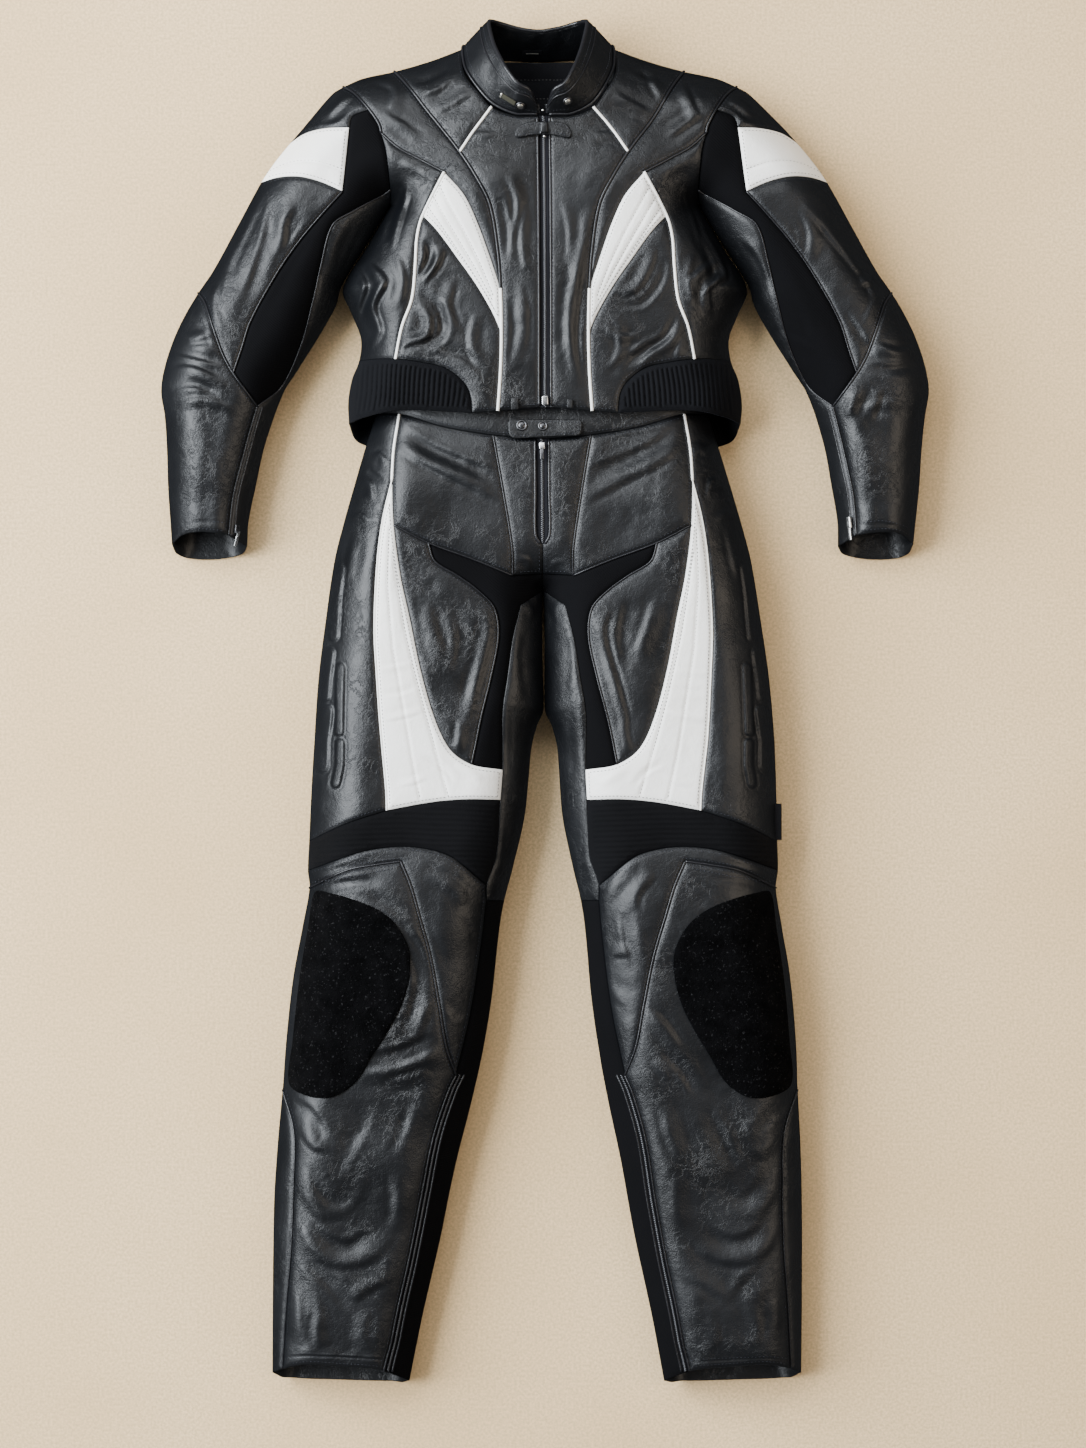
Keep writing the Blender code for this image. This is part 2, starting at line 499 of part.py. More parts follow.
def inside(polygon, xy):
    """Which of the points lie inside the polygon."""
    x, y = xy[:, 0][:, None], xy[:, 1][:, None]
    x1, y1 = polygon[:, 0], polygon[:, 1]
    x2, y2 = np.roll(x1, -1), np.roll(y1, -1)
    crosses = (y1 > y) != (y2 > y)
    with np.errstate(divide="ignore", invalid="ignore"):
        at = x1 + (y - y1) * (x2 - x1) / (y2 - y1)
    return (crosses & (x < at)).sum(1) % 2 == 1


def line_distance(polygon, xy):
    a, b = polygon, np.roll(polygon, -1, 0)
    along = b - a
    offset = xy[:, None, :] - a[None]
    share = np.clip((offset * along[None]).sum(2) / (along**2).sum(1), 0, 1)
    return np.sqrt(((offset - share[..., None] * along[None])**2).sum(2).min(1))


def inner_points(garment, outline, facing):
    """Points inside a patch: an even grid, and rows beside the side edges, where the form bends."""
    spacing = TOP_GRID if facing == "up" else BACK_GRID
    low, high = outline.min(0), outline.max(0)
    grid = []
    rows = int((high[1] - low[1]) / (spacing * 0.87)) + 1
    for row in range(rows + 1):
        shift = spacing / 2 * (row % 2)
        for col in range(int((high[0] - low[0]) / spacing) + 2):
            grid.append((low[0] + shift + (col - 0.25) * spacing, low[1] + row * spacing * 0.87))
    middles = (garment.starts + garment.ends) / 2
    along = garment.ends - garment.starts
    across = np.column_stack([-along[:, 1], along[:, 0]]) / np.linalg.norm(along, axis=1)[:, None]
    offsets = ((EDGE_ROW, 12.0), (27.0, 24.0)) if facing == "up" else ((EDGE_ROW, 14.0), (22.0, 24.0))
    kept = np.empty((0, 2))
    for offset, room in offsets:
        found = np.vstack([middles + across * offset, middles - across * offset])
        found = found[inside(outline, found)]
        if len(found):
            found = found[np.abs(garment.edge_distance(found) - offset) < 0.8]
        if len(found):
            found = found[line_distance(outline, found) > min(room, offset) * 0.75]
        for point in found:
            if not len(kept) or ((kept - point)**2).sum(1).min() > (room * 1.1)**2:
                kept = np.vstack([kept, point])
    grid = np.array(grid)
    grid = grid[inside(outline, grid)]
    if len(grid):
        grid = grid[line_distance(outline, grid) > spacing * 0.42]
    if facing == "back" and len(grid):
        grid = grid[garment.edge_distance(grid) > BACK_REACH + spacing * 0.35]
    for point in grid:
        if not len(kept) or ((kept - point)**2).sum(1).min() > (spacing * 0.6)**2:
            kept = np.vstack([kept, point])
    return kept


def fill(outline, extra, inlay=None):
    """Triangles over an outline on the plan, counter-clockwise seen from above.

    An inlay is a closed line inside it that the triangles follow."""
    count = len(outline)
    vertices = [Vector(p) for p in np.vstack([outline, extra])]
    borders = []
    if inlay is not None:
        first = len(vertices)
        vertices += [Vector(p) for p in inlay]
        borders = [(first + i, first + (i + 1) % len(inlay)) for i in range(len(inlay))]
    order = list(range(count))
    x, y = outline[:, 0], outline[:, 1]
    if (x * np.roll(y, -1) - np.roll(x, -1) * y).sum() < 0:
        order.reverse()
    points, _, faces, _, _, _ = delaunay_2d_cdt(vertices, borders, [order], 1, 1e-5)
    points = np.array([tuple(p) for p in points])
    faces = np.array([face for face in faces if len(face) == 3])
    a, b, c = (points[faces[:, i]] for i in range(3))
    turned = (b - a)[:, 0] * (c - a)[:, 1] - (b - a)[:, 1] * (c - a)[:, 0] < 0
    faces[turned] = faces[turned][:, ::-1]
    return points, faces


def walled(name, outer, normals, faces, thickness, material):
    """A closed wall: the outer surface, its copy moved inwards, and the rim between them."""
    inner = outer - normals * thickness
    count = len(outer)
    mesh = bpy.data.meshes.new(name)
    bm = bmesh.new()
    verts = [bm.verts.new(Vector(p) * MM) for p in np.vstack([outer, inner])]
    for a, b, c in faces:
        bm.faces.new((verts[a], verts[b], verts[c]))
    rims = {}
    for a, b, c in faces:
        for edge in ((a, b), (b, c), (c, a)):
            if edge[::-1] in rims:
                del rims[edge[::-1]]
            else:
                rims[edge] = True
    for a, b, c in faces:
        bm.faces.new((verts[c + count], verts[b + count], verts[a + count]))
    for a, b in rims:
        # The same diagonal as the neighbour's rim has: from the outside of the higher end.
        if tuple(outer[a, ::-1].round(0)) > tuple(outer[b, ::-1].round(0)):
            bm.faces.new((verts[b], verts[a], verts[b + count]))
            bm.faces.new((verts[a], verts[a + count], verts[b + count]))
        else:
            bm.faces.new((verts[b], verts[a], verts[a + count]))
            bm.faces.new((verts[b], verts[a + count], verts[b + count]))
    bm.normal_update()
    bm.to_mesh(mesh)
    bm.free()
    mesh.materials.append(material)
    return new_object(name, mesh)


def new_object(name, mesh):
    obj = bpy.data.objects.new(name, mesh)
    COLLECTION.objects.link(obj)
    return obj


def join_patches(patches):
    """One set of points and triangles from patches that share a side edge."""
    points, normals, faces = [], [], []
    for patch_points, patch_normals, patch_faces in patches:
        index = []
        for point, normal in zip(patch_points, patch_normals):
            near = [i for i, other in enumerate(points) if np.abs(other - point).max() < 0.7]
            if near and len(patches) > 1:
                index.append(near[0])
            else:
                index.append(len(points))
                points.append(point)
                normals.append(normal)
        faces.extend([[index[i] for i in face] for face in patch_faces])
    faces = [face for face in faces if len(set(face)) == 3]
    return np.array(points), np.array(normals), faces


def lift_patch(garment, outline, facing, level=None, lift=0.0, inlay=None):
    """A filled outline raised onto the form."""
    extra = inner_points(garment, outline, facing)
    if inlay is not None:
        extra = extra[line_distance(inlay, extra) > TOP_GRID * 0.25]
    points, faces = fill(outline, extra, inlay)
    z, normals = garment.height(points, facing), garment.normal(points, facing)
    if level is not None:
        directions, on_edge = level
        heights = EDGE_SHARE * garment.loft(outline)[1]
        for point, direction, height in zip(outline[on_edge], directions[on_edge], heights[on_edge]):
            at = np.abs(points - point).max(1) < 1e-4
            normals[at] = (*direction, 0.0)
            if garment.edge_distance(point[None])[0] < 0.5 * EDGE_HALF_GAP:
                z[at] = height
    if facing == "back":
        faces = faces[:, ::-1]
    outer = np.column_stack([points, z]) + normals * lift
    return outer, normals, faces


def build_panel(name, garment, material, thickness, patches, side):
    built = []
    for facing, text in patches:
        if side:
            points, gaps, edges, along, _ = read_loop(garment, text, side)
        else:
            half, gaps, edges, half_along, last = read_loop(garment, text, -1)
            other, _, _, other_along, other_last = read_loop(garment, text, 1)
            middle = [last] if abs(last[0] - other_last[0]) < 1.0 else [last, other_last]
            points = np.vstack([half, middle, other[1:][::-1]])
            along = np.vstack([half_along, np.zeros((len(middle), 2)), other_along[1:][::-1]])
            gaps, edges = run_flags(gaps, len(middle)), run_flags(edges, len(middle)).astype(bool)
        level = level_normals(points, edges, along)
        outline = pull_in(points, gaps)
        inlay = garment.place(SLIDER_OUTLINE, side) if name.startswith("shin_panel") else None
        built.append(lift_patch(garment, outline, facing, level, 0.0, inlay))
    outer, normals, faces = join_patches(built)
    if inlay is not None:
        build_knee_slider(inlay, outer, normals, faces, side)
    return walled(name, outer, normals, faces, thickness, material)


def run_flags(half, middle_count):
    """Flags of the sides of a mirrored outline: the half's, those across the middle, the half's reversed."""
    across = [half[-1]] * (middle_count - 1)
    return np.concatenate([half, across, half[::-1]])


def make_material(name, colour, roughness, metallic=0.0):
    material = bpy.data.materials.new(name)
    material.use_nodes = True
    shader = material.node_tree.nodes["Principled BSDF"]
    shader.inputs["Base Color"].default_value = (*colour, 1.0)
    shader.inputs["Roughness"].default_value = roughness
    shader.inputs["Metallic"].default_value = metallic
    return material


def build_knee_slider(outline, outer, normals, faces, side):
    """Hook-and-loop pad sewn on the shin panel: the panel's own points inside the pad, moved out."""
    faces = np.array(faces)
    kept = faces[inside(outline, outer[faces][:, :, :2].mean(1))]
    used, index = np.unique(kept, return_inverse=True)
    raised = outer[used] + normals[used] * (CLEAR + SLIDER_THICK)
    walled("knee_slider_" + SIDE_NAMES[side], raised, normals[used], index.reshape(-1, 3), SLIDER_THICK,
           MATERIALS["loop_pad"])


def strip_outline(garment, seam):
    """Outline of the strip between the two sides' copies of a seam, such as a zip between its edges."""
    run, _ = garment.seams[seam]
    left, right = garment.place(run, 1), garment.place(run, -1)
    meets = np.linalg.norm(left[-1] - right[-1]) < 0.1
    return np.vstack([right, left[::-1][1 if meets else 0:]])


def build_zip_tape(name, garment, seam):
    outline = strip_outline(garment, seam)
    outline = pull_in(outline, np.full(len(outline), SEAM_HALF_GAP))
    outer, normals, faces = lift_patch(garment, outline, "up")
    return walled(name, outer, normals, faces, ZIP_THICK, MATERIALS["zip"])


def build_tab(name, garment, outline, lift, thickness, material):
    """A leather tab that lies on the panels under it. Its outline is measured from the centre line."""
    outline = garment.place(outline, 1)
    outer, normals, faces = lift_patch(garment, outline, "up", None, lift)
    return walled(name, outer, normals, faces, thickness, MATERIALS[material])


def build_collar():
    """Stand-up collar: a band lofted from the neck seam to its top edge, open at the front."""
    rows = np.array(COLLAR_ROWS, float)
    halves = []
    for side in (-1, 1):
        bottom, top = JACKET.place(rows[:, :2], side), JACKET.place(rows[:, 2:4], side)
        front = np.arange(len(rows)) < COLLAR_FRONT_ROWS
        base = np.where(front, JACKET.height(bottom, "up"), JACKET.height(bottom, "back")) + CLEAR
        bottom, top = np.column_stack([bottom, base]), np.column_stack([top, rows[:, 4]])
        middle = (bottom + top) / 2
        middle[:, 2] += COLLAR_BULGE
        halves.append(np.stack([bottom, middle, top], 1))
    columns = np.vstack([halves[0], halves[1][:-1][::-1]])
    mesh = bpy.data.meshes.new("collar")
    bm = bmesh.new()
    verts = [[bm.verts.new(Vector(p) * MM) for p in column] for column in columns]
    for left, right in zip(verts[:-1], verts[1:]):
        for k in range(2):
            bm.faces.new((left[k], left[k + 1], right[k + 1], right[k]))
    bm.normal_update()
    bm.to_mesh(mesh)
    bm.free()
    mesh.materials.append(MATERIALS["leather_black"])
    collar = new_object("collar", mesh)
    wall = collar.modifiers.new("wall", "SOLIDIFY")
    wall.thickness, wall.offset = FOLDED * MM, COLLAR_WALL_SIDE


def frame_on(garment, u, v, side, heading):
    """Matrix of a small hard piece on the form: x across it, y along its heading (du, dv), z outwards."""
    spot = garment.place((u, v), side)
    normal = Vector(garment.normal(spot, "up")[0])
    along = Vector((side * heading[0], heading[1], 0))
    along = (along - normal * along.dot(normal)).normalized()
    across = along.cross(normal)
    place = Vector((*spot[0], garment.height(spot, "up")[0]))
    matrix = Matrix((across, along, normal)).transposed().to_4x4()
    matrix.translation = place * MM
    return matrix


def block(name, size, centre, matrix, material, bevel=0.0):
    """A beveled box, sized and centred in the piece's own frame."""
    mesh = bpy.data.meshes.new(name)
    bm = bmesh.new()
    bmesh.ops.create_cube(bm, size=1.0)
    bmesh.ops.scale(bm, vec=Vector(size) * MM, verts=bm.verts)
    bmesh.ops.translate(bm, vec=Vector(centre) * MM, verts=bm.verts)
    if bevel:
        bmesh.ops.bevel(bm, geom=bm.edges[:], offset=bevel * MM, segments=2, profile=0.5, affect="EDGES")
    bm.to_mesh(mesh)
    bm.free()
    mesh.materials.append(MATERIALS[material])
    obj = new_object(name, mesh)
    obj.matrix_world = matrix
    return obj


def build_cuff_zip():
    """Slider of the right cuff's zip, and the pull tab that swings on it."""
    matrix = frame_on(JACKET, *CUFF_SLIDER_SPOT, -1, CUFF_ZIP_HEADING)
    width, length, high = SLIDER_SIZE
    body = block("cuff_slider", (width, length, high), (0, 0, CLEAR + high / 2), matrix, "metal",
                 SLIDER_BEVEL)
    for side in (-1, 1):
        lug = block(f"lug_{side}", (LUG_WIDTH, LUG_LENGTH, LUG_HIGH),
                    (side * (width - LUG_WIDTH) / 2, PULL_AXIS[0], CLEAR + high + LUG_HIGH / 2 - LUG_SUNK),
                    matrix, "metal")
        lug.hide_render = True
        lug.display_type = "WIRE"
        joined = body.modifiers.new("lug", "BOOLEAN")
        joined.operation, joined.object = "UNION", lug
    pull = bpy.data.curves.new("cuff_pull", "CURVE")
    pull.dimensions, pull.fill_mode, pull.extrude = "2D", "BOTH", PULL_THICK / 2 * MM
    half, hole = PULL_WIDTH / 2, PULL_WIDTH / 2 - PULL_RIM
    steps = [math.pi * k / 8 for k in range(9)]
    tip = PULL_LENGTH - half
    outline = [(-half, -PULL_THICK / 2), (half, -PULL_THICK / 2)]
    outline += [(half * math.cos(a), tip + half * math.sin(a)) for a in steps]
    ring = [(hole * math.cos(2 * a), tip + hole * math.sin(2 * a)) for a in steps[:-1]]
    for points in (outline, ring):
        spline = pull.splines.new("POLY")
        spline.points.add(len(points) - 1)
        spline.use_cyclic_u = True
        for point, (x, y) in zip(spline.points, points):
            point.co = (x * MM, y * MM, 0, 1)
    pull.materials.append(MATERIALS["metal"])
    obj = new_object("cuff_pull", pull)
    hinge = Matrix.Translation(Vector((0, PULL_AXIS[0], PULL_AXIS[1])) * MM)
    obj.matrix_world = matrix @ hinge @ Matrix.Rotation(math.radians(-PULL_DROOP), 4, "X")


for old in list(bpy.data.objects):
    bpy.data.objects.remove(old, do_unlink=True)
COLLECTION = bpy.data.collections.new("race_suit")
bpy.context.scene.collection.children.link(COLLECTION)
SIDE_NAMES = {-1: "right", 1: "left"}
MATERIALS = {
    "leather_black": make_material("leather_black", (0.012, 0.013, 0.016), 0.38),
    "leather_white": make_material("leather_white", (0.80, 0.78, 0.73), 0.42),
    "stretch_fabric": make_material("stretch_fabric", (0.010, 0.011, 0.015), 0.75),
    "rib_knit": make_material("rib_knit", (0.009, 0.010, 0.014), 0.85),
    "zip": make_material("zip", (0.02, 0.02, 0.024), 0.6),
    "loop_pad": make_material("loop_pad", (0.012, 0.012, 0.013), 0.95),
    "metal": make_material("metal", (0.62, 0.62, 0.60), 0.30, 1.0)}

for node, garment, material, thickness, patches in SIDE_PANELS:
    for side, word in SIDE_NAMES.items():
        build_panel(f"{node}_{word}", GARMENTS[garment], MATERIALS[material], thickness, patches, side)
for node, garment, material, thickness, patches in CENTRE_PANELS:
    build_panel(node, GARMENTS[garment], MATERIALS[material], thickness, patches, 0)
build_zip_tape("front_zip", JACKET, "zip_edge")
build_zip_tape("fly_zip", TROUSERS, "fly")
build_tab("collar_tab", JACKET, COLLAR_TAB, CLEAR + TAB_THICK, TAB_THICK, "leather_black")
build_tab("waist_tab", TROUSERS, WAIST_TAB, WAIST_TAB_LIFT, LEATHER, "leather_black")
build_collar()
block("zip_slider", ZIP_SLIDER_SIZE, (0, 0, 2 * CLEAR + TAB_THICK + ZIP_SLIDER_SIZE[2] / 2),
      frame_on(JACKET, *ZIP_SLIDER_SPOT, 1, (0, 1)), "metal", ZIP_SLIDER_BEVEL)
build_cuff_zip()
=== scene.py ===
"""Looks of the two-piece leather race suit, zipped closed and laid flat on its back.

The plan, the seams and the form are those of the solids: u outward from the centre line,
v towards the collar, in millimetres. Each panel is a thin closed shell on that form, with
its edges rolled in at the seams and its creases pressed in. Stitches, piping, zip
coils and snaps lie on it.
"""
import math

import bmesh
import bpy
import numpy as np
from mathutils import Matrix, Vector
from mathutils.geometry import delaunay_2d_cdt


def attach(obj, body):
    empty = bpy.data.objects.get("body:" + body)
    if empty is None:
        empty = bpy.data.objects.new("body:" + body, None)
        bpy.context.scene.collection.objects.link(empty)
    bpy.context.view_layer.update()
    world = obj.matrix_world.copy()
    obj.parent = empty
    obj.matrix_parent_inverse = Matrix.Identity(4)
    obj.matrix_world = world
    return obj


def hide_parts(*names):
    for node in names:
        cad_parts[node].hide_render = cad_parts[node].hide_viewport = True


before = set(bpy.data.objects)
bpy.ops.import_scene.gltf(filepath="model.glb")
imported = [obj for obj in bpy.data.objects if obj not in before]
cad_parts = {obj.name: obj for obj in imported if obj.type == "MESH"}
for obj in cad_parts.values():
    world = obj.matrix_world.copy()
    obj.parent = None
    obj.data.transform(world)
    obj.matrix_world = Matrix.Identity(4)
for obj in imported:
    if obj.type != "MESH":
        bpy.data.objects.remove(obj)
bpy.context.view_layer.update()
BODY = "suit"

MM = 0.001
SEAM_HALF_GAP = 0.16      # each panel stops this far short of its seam
EDGE_HALF_GAP = 0.09      # and this far short of a side edge
SEAM_STEP = 3.0           # spacing of the points along a seam
EDGE_STRIDE = 3           # the form's distances use every third point of a side edge
CLEAR = 0.35              # between a piece and what it lies on
LEATHER, STRETCH, KNIT, FOLDED = 1.6, 1.3, 2.4, 4.0     # walls
ZIP_THICK, ZIP_SUNK = 1.2, 0.6
TAB_CORNER = 5.0

# Form of the garment
EDGE_SHARE = 0.42         # height of a side edge, as a share of the form's height there
ROUNDING = 2.3            # power of the curve from a side edge up to the top
BACK_REACH = 26.0         # from a side edge in to where the underside meets the floor
SPOT_POWER, SPOT_BLUR = 3.0, 25.0     # how the heights at the spots blend between them
NORMAL_STEP = 1.5         # the slope is measured this far to each side
WAIST_LIFT, WAIST_LIFT_FROM, WAIST_LIFT_TO = 7.0, 225.0, 272.0
ORIGIN = (2.2, -0.97)     # middle of the laid suit's box on the plan

# Cut of a sheet
CUT_TURN = 3              # degrees between the angles at which its rectangle is tried
LEAST_FILL = 0.31         # of that rectangle is cloth

# Fine surface
RIM_ROWS = (1.1, 2.6, 4.6)   # rows of points inside a panel's border
GRID_CLEAR = 0.6             # of the grid's spacing is left between those rows and the grid
WELD_REACH = 0.45
CHUNK = 2048                 # points at a time, to keep memory small
EDGE_FADE = 13.0             # over which relief dies away towards a side edge
PUFF, PUFF_REACH = 1.1, 11.0              # a panel swells this much between its seams
SEAM_DIP, SEAM_DIP_REACH = 2.2, 2.5       # and rolls down this much at them
CALM_LEAST, CALM_REACH = 0.35, 9.0        # share of the relief that is left at a seam
PATTERN_REACH = 2.2
BACK_WAVE, BACK_ROLL = 0.5, 0.4
WAVE_COUNT = 22
SOFT_HEIGHT, MID_HEIGHT, FINE_HEIGHT = 1.2, 0.36, 0.30
PATCH_LEAST, PATCH_SWING = 0.35, 0.6      # small wrinkles come and go in patches
HEM_TOP, HEM_SPAN, HEM_DRAW = -690.0, 52.0, 16.0   # where a leg's hem is drawn up, how far

# Creases
FOLD_STEP, FOLD_DRIFT = 9.0, 6.0          # point spacing, and a crease's drift on the second side
FOLD_SHARES = (0.6, 1.15)                 # least and most of its depth that it has there
FOLD_DEPTH, FOLD_WIDTH = 0.82, 0.80       # shares of the table's depths and widths
FOLD_STEEP_SIDE = 0.55                    # width of a crease's steep side, as a share of the other
FOLD_TAPER = 2.5                          # power with which a crease dies away at its ends
HOLLOW_DEPTH, HOLLOW_AT, HOLLOW_WIDTH = 0.45, 1.8, 0.8   # hollows beside it, in its own widths
FOLD_ROOM = 3.2                           # widths from its run at which a crease is over

# Patterns
RIB_PITCH, RIB_HEIGHT, RIB_PLAIN_FROM = 5.4, 2.8, 208.0
RIB_LEAN, RIB_LEAN_FROM, RIB_WANDER = 0.10, 340, 1.2
PLEAT_PITCH, PLEAT_HEIGHT = 5.6, 2.2
PLEAT_BEND, PLEAT_MIDDLE, PLEAT_LEAN, PLEAT_WANDER = 0.00045, 120, 0.03, 0.8
BAR_SLOPE, BAR_GROOVE, BAR_GROOVE_OUT, BAR_GROOVE_REACH = 3.0, 0.9, 2.2, 1.6
QUILT_DEPTH, QUILT_REACH = 1.1, 1.8

# Sewing and trim
STITCH_LENGTH, STITCH_GAP, STITCH_WIDTH, STITCH_INSET = 2.9, 1.1, 0.75, 3.4
CORNER_SHARE = 0.85                       # of its inset is left where a row of stitches ends
STITCH_RISE = 0.1                         # middle of a stitch above the leather
SLOPE_STEP = 0.8                          # the slope under a stitch is measured this far ahead
BEAD_TOP, BEAD_FOOT = 0.55, 0.4           # of a stitch's width, above and below its middle
QUILT_STITCH = (3.2, 0.9, 0.85)           # length, gap and width on quilted lines
QUILT_SEAM_DISTANCE = 12.0
ON_PANEL, MID_PANEL, NO_SEAM = 20.0, 30.0, 99.0     # distances from any seam, where it rolls no more
COIL_PITCH, COIL_SWING, COIL_RADIUS, COIL_RISE = 2.2, 1.3, 0.55, 0.7
COIL_SIDES = 5
ZIP_EDGE_RADIUS, ZIP_EDGE_STEP = 1.6, 3.0           # rolled leather beside a zip
ZIP_EDGE_DISTANCE, ZIP_EDGE_RISE = 1.2, 0.5
SIDE_COIL_RADIUS, SIDE_COIL_SWING, SIDE_EDGE_RADIUS = 0.5, 0.9, 1.2
SIDE_ZIP_DISTANCE, SIDE_ZIP_RISE = 3.0, 0.6
ZIP_GRID, TAB_GRID, SLIDER_GRID = 2.4, 2.0, 2.2     # point spacings
TAB_PUFF, TAB_PUFF_REACH = 0.5, 3.0
TAB_STITCH_INSET, TAB_STITCH_RISE = 2.6, 0.4
SNAP_RING = [(1, 0), (1.02, 0.8), (0.9, 1.5), (0.72, 1.5), (0.66, 0.9)]   # share of radius, height
SNAP_CAP = [(0.66, 0.4), (0.64, 1.2), (0.5, 1.75), (0.25, 2.0)]
SNAP_CROWN = (0.05, 2.05)                 # radius and height of the cap's middle
TURNED_SIDES = 32
COIL_WAVE = np.array([0, 1, 0, -1])       # four points make one turn of a coil
PIPING_STEP, PIPING_RISE = 2.6, 0.55
FLOOR_SIZE, FLOOR_DROP = 8.0, 0.15
SIDE_NAMES = {-1: "right", 1: "left"}

# Where the centre line runs, at distances v along the suit: v, x
JACKET_LINE = [(718, -5.5), (677, -3.3), (631, 0.5), (549, 1.6), (440, 2.2), (320, 2.2), (173, -0.5)]
TROUSER_LINE = [(352, -1.6), (113, 0.0), (-40, 1.6), (-214, -0.5), (-378, -2.2), (-541, -5.5), (-748, -6.9)]

# Loft of the laid garment at a few spots: u, v, reach, height
JACKET_SPOTS = [
    (0, 640, 62, 98), (60, 560, 72, 106), (0, 450, 78, 104), (150, 500, 66, 98), (0, 330, 72, 97),
    (175, 330, 60, 92), (125, 670, 52, 82), (235, 610, 52, 82), (290, 480, 52, 80),
    (345, 375, 50, 78), (365, 280, 46, 72), (368, 190, 38, 62)]
TROUSER_SPOTS = [
    (0, 330, 62, 82), (150, 330, 55, 78), (0, 230, 70, 90), (150, 200, 68, 92), (50, 110, 60, 86),
    (130, 20, 70, 90), (140, -110, 70, 88), (150, -210, 68, 94), (180, -340, 64, 86),
    (190, -460, 60, 76), (205, -600, 56, 70), (215, -745, 54, 64)]

# Seams of one side of the jacket. A name is a point where seams meet.
JACKET_JOINS = {
    "neck": (84, 718), "yoke_top": (159, 694), "tip": (216, 677), "arm_b": (176, 618),
    "inner_top": (168, 560), "armpit": (169, 546), "stretch_top": (188, 644),
    "band_top": (278, 616), "band_bottom": (311, 572), "elbow_out": (381, 451), "cuff_out": (408, 175),
    "cuff_in": (325, 173), "band_in_top": (211, 625), "band_in_bottom": (219, 555),
    "elbow_mid": (339, 359), "zip_top": (314, 324), "zip_end": (343, 184),
    "rib_side": (204, 376), "rib_out": (215, 307), "rib_piping": (162, 373), "rib_hem": (79, 314),
    "rib_back_top": (112, 372), "rib_back_hem": (110, 282), "back_hem": (0, 281), "back_neck": (0, 710),
    "cross": (91, 596), "neck_piping": (55, 645), "chest_tip": (108, 574), "chest_corner": (132, 528),
    "strip_end": (48, 448), "chest_end": (47, 399), "hem_a": (51, 316), "hem_front": (5, 320),
    "neck_front": (5, 635)}
JACKET_SEAMS = {
    "shoulder": ["neck", (117, 706), "yoke_top", (195, 686), "tip"],
    "outer_arm": ["tip", (228, 670), (253, 644), "band_top", (296, 594), "band_bottom", (338, 523),
                  (364, 476), "elbow_out", (396, 426), (409, 398), (419, 366), (422, 342), (418, 316),
                  (415, 278), (413, 235), "cuff_out"],
    "inner_arm": ["armpit", (196.9, 501.5), (224, 456.5), (229, 438), (244, 410), (271, 367), (288, 340),
                  (307, 285), (316, 242), (324, 200), "cuff_in"],
    "flank": ["armpit", (195.1, 500.5), (221.8, 455), (212, 427), (202, 400), "rib_side", (212, 355),
              (216, 330), "rib_out"],
    "armhole": ["tip", (204, 666), "stretch_top", (178, 627), "arm_b", (171, 596), "inner_top", "armpit"],
    "armhole_back": ["tip", (190, 640), (173, 600), "armpit"],
    "neckline": ["neck", (81, 683), (64, 657), "neck_piping", (32, 636), "neck_front"],
    "neck_back": ["neck", (50, 711.5), "back_neck"],
    "princess": ["yoke_top", (141, 667), (122, 638), "cross", (73, 567), (59, 538), (51, 490),
                 "strip_end", "chest_end", (48, 360), "hem_a"],
    "collar_piping": ["neck_piping", (74, 621), "cross"],
    "bust": ["chest_tip", (137, 590), (158, 602), "arm_b"],
    "chest_inner": ["chest_tip", (87, 549), (73, 520), (62, 490), "strip_end"],
    "chest_outer": ["chest_corner", (115, 509), (94, 480), (75, 453), (57, 422), "chest_end"],
    "side_piping": ["chest_tip", "chest_corner", (138, 504), (140, 473), (144, 437), (155, 407),
                    "rib_piping"],
    "rib_top": ["rib_side", "rib_piping", (135, 369), (109, 363), (90, 349), (82, 336), "rib_hem"],
    "rib_bottom": ["rib_out", (200, 311), (153, 317), "rib_hem"],
    "rib_back_side": ["rib_side", "rib_back_top"],
    "rib_back_seam": ["rib_back_top", "rib_back_hem"],
    "rib_back_edge": ["rib_out", (211, 295), (203, 288), (188, 284), "rib_back_hem"],
    "back_edge": ["rib_back_hem", "back_hem"],
    "hem": ["rib_hem", "hem_a", "hem_front"],
    "zip_edge": ["hem_front", (5, 480), "neck_front"],
    "cap_edge": ["stretch_top", (207, 637), "band_in_top"],
    "band_upper": ["band_top", (261, 624), (238, 626), "band_in_top"],
    "band_lower": ["band_bottom", (293, 574), (266, 572), (241, 565), "band_in_bottom"],
    "band_inner": ["band_in_top", "band_in_bottom"],
    "arm_stretch": ["band_in_bottom", (240, 532), (267, 501), (291, 467), (320, 415), (330, 385),
                    "elbow_mid"],
    "elbow": ["elbow_out", (371, 437), (361, 409), (350, 379), "elbow_mid", "zip_top"],
    "arm_inner": ["inner_top", (209, 534), (230, 519), (243, 478), (253, 437), (267, 391), (289, 347),
                  "zip_top"],
    "cuff_zip": ["zip_top", (322, 296), (330, 264), (339, 224), "zip_end"],
    "cuff_front": ["cuff_out", (395, 184), (372, 187), "zip_end"],
    "cuff_zip_end": ["zip_end", "cuff_in"],
    "cuff_back": ["cuff_out", (405, 167), (392, 161), (360, 160), (331, 166), "cuff_in"]}

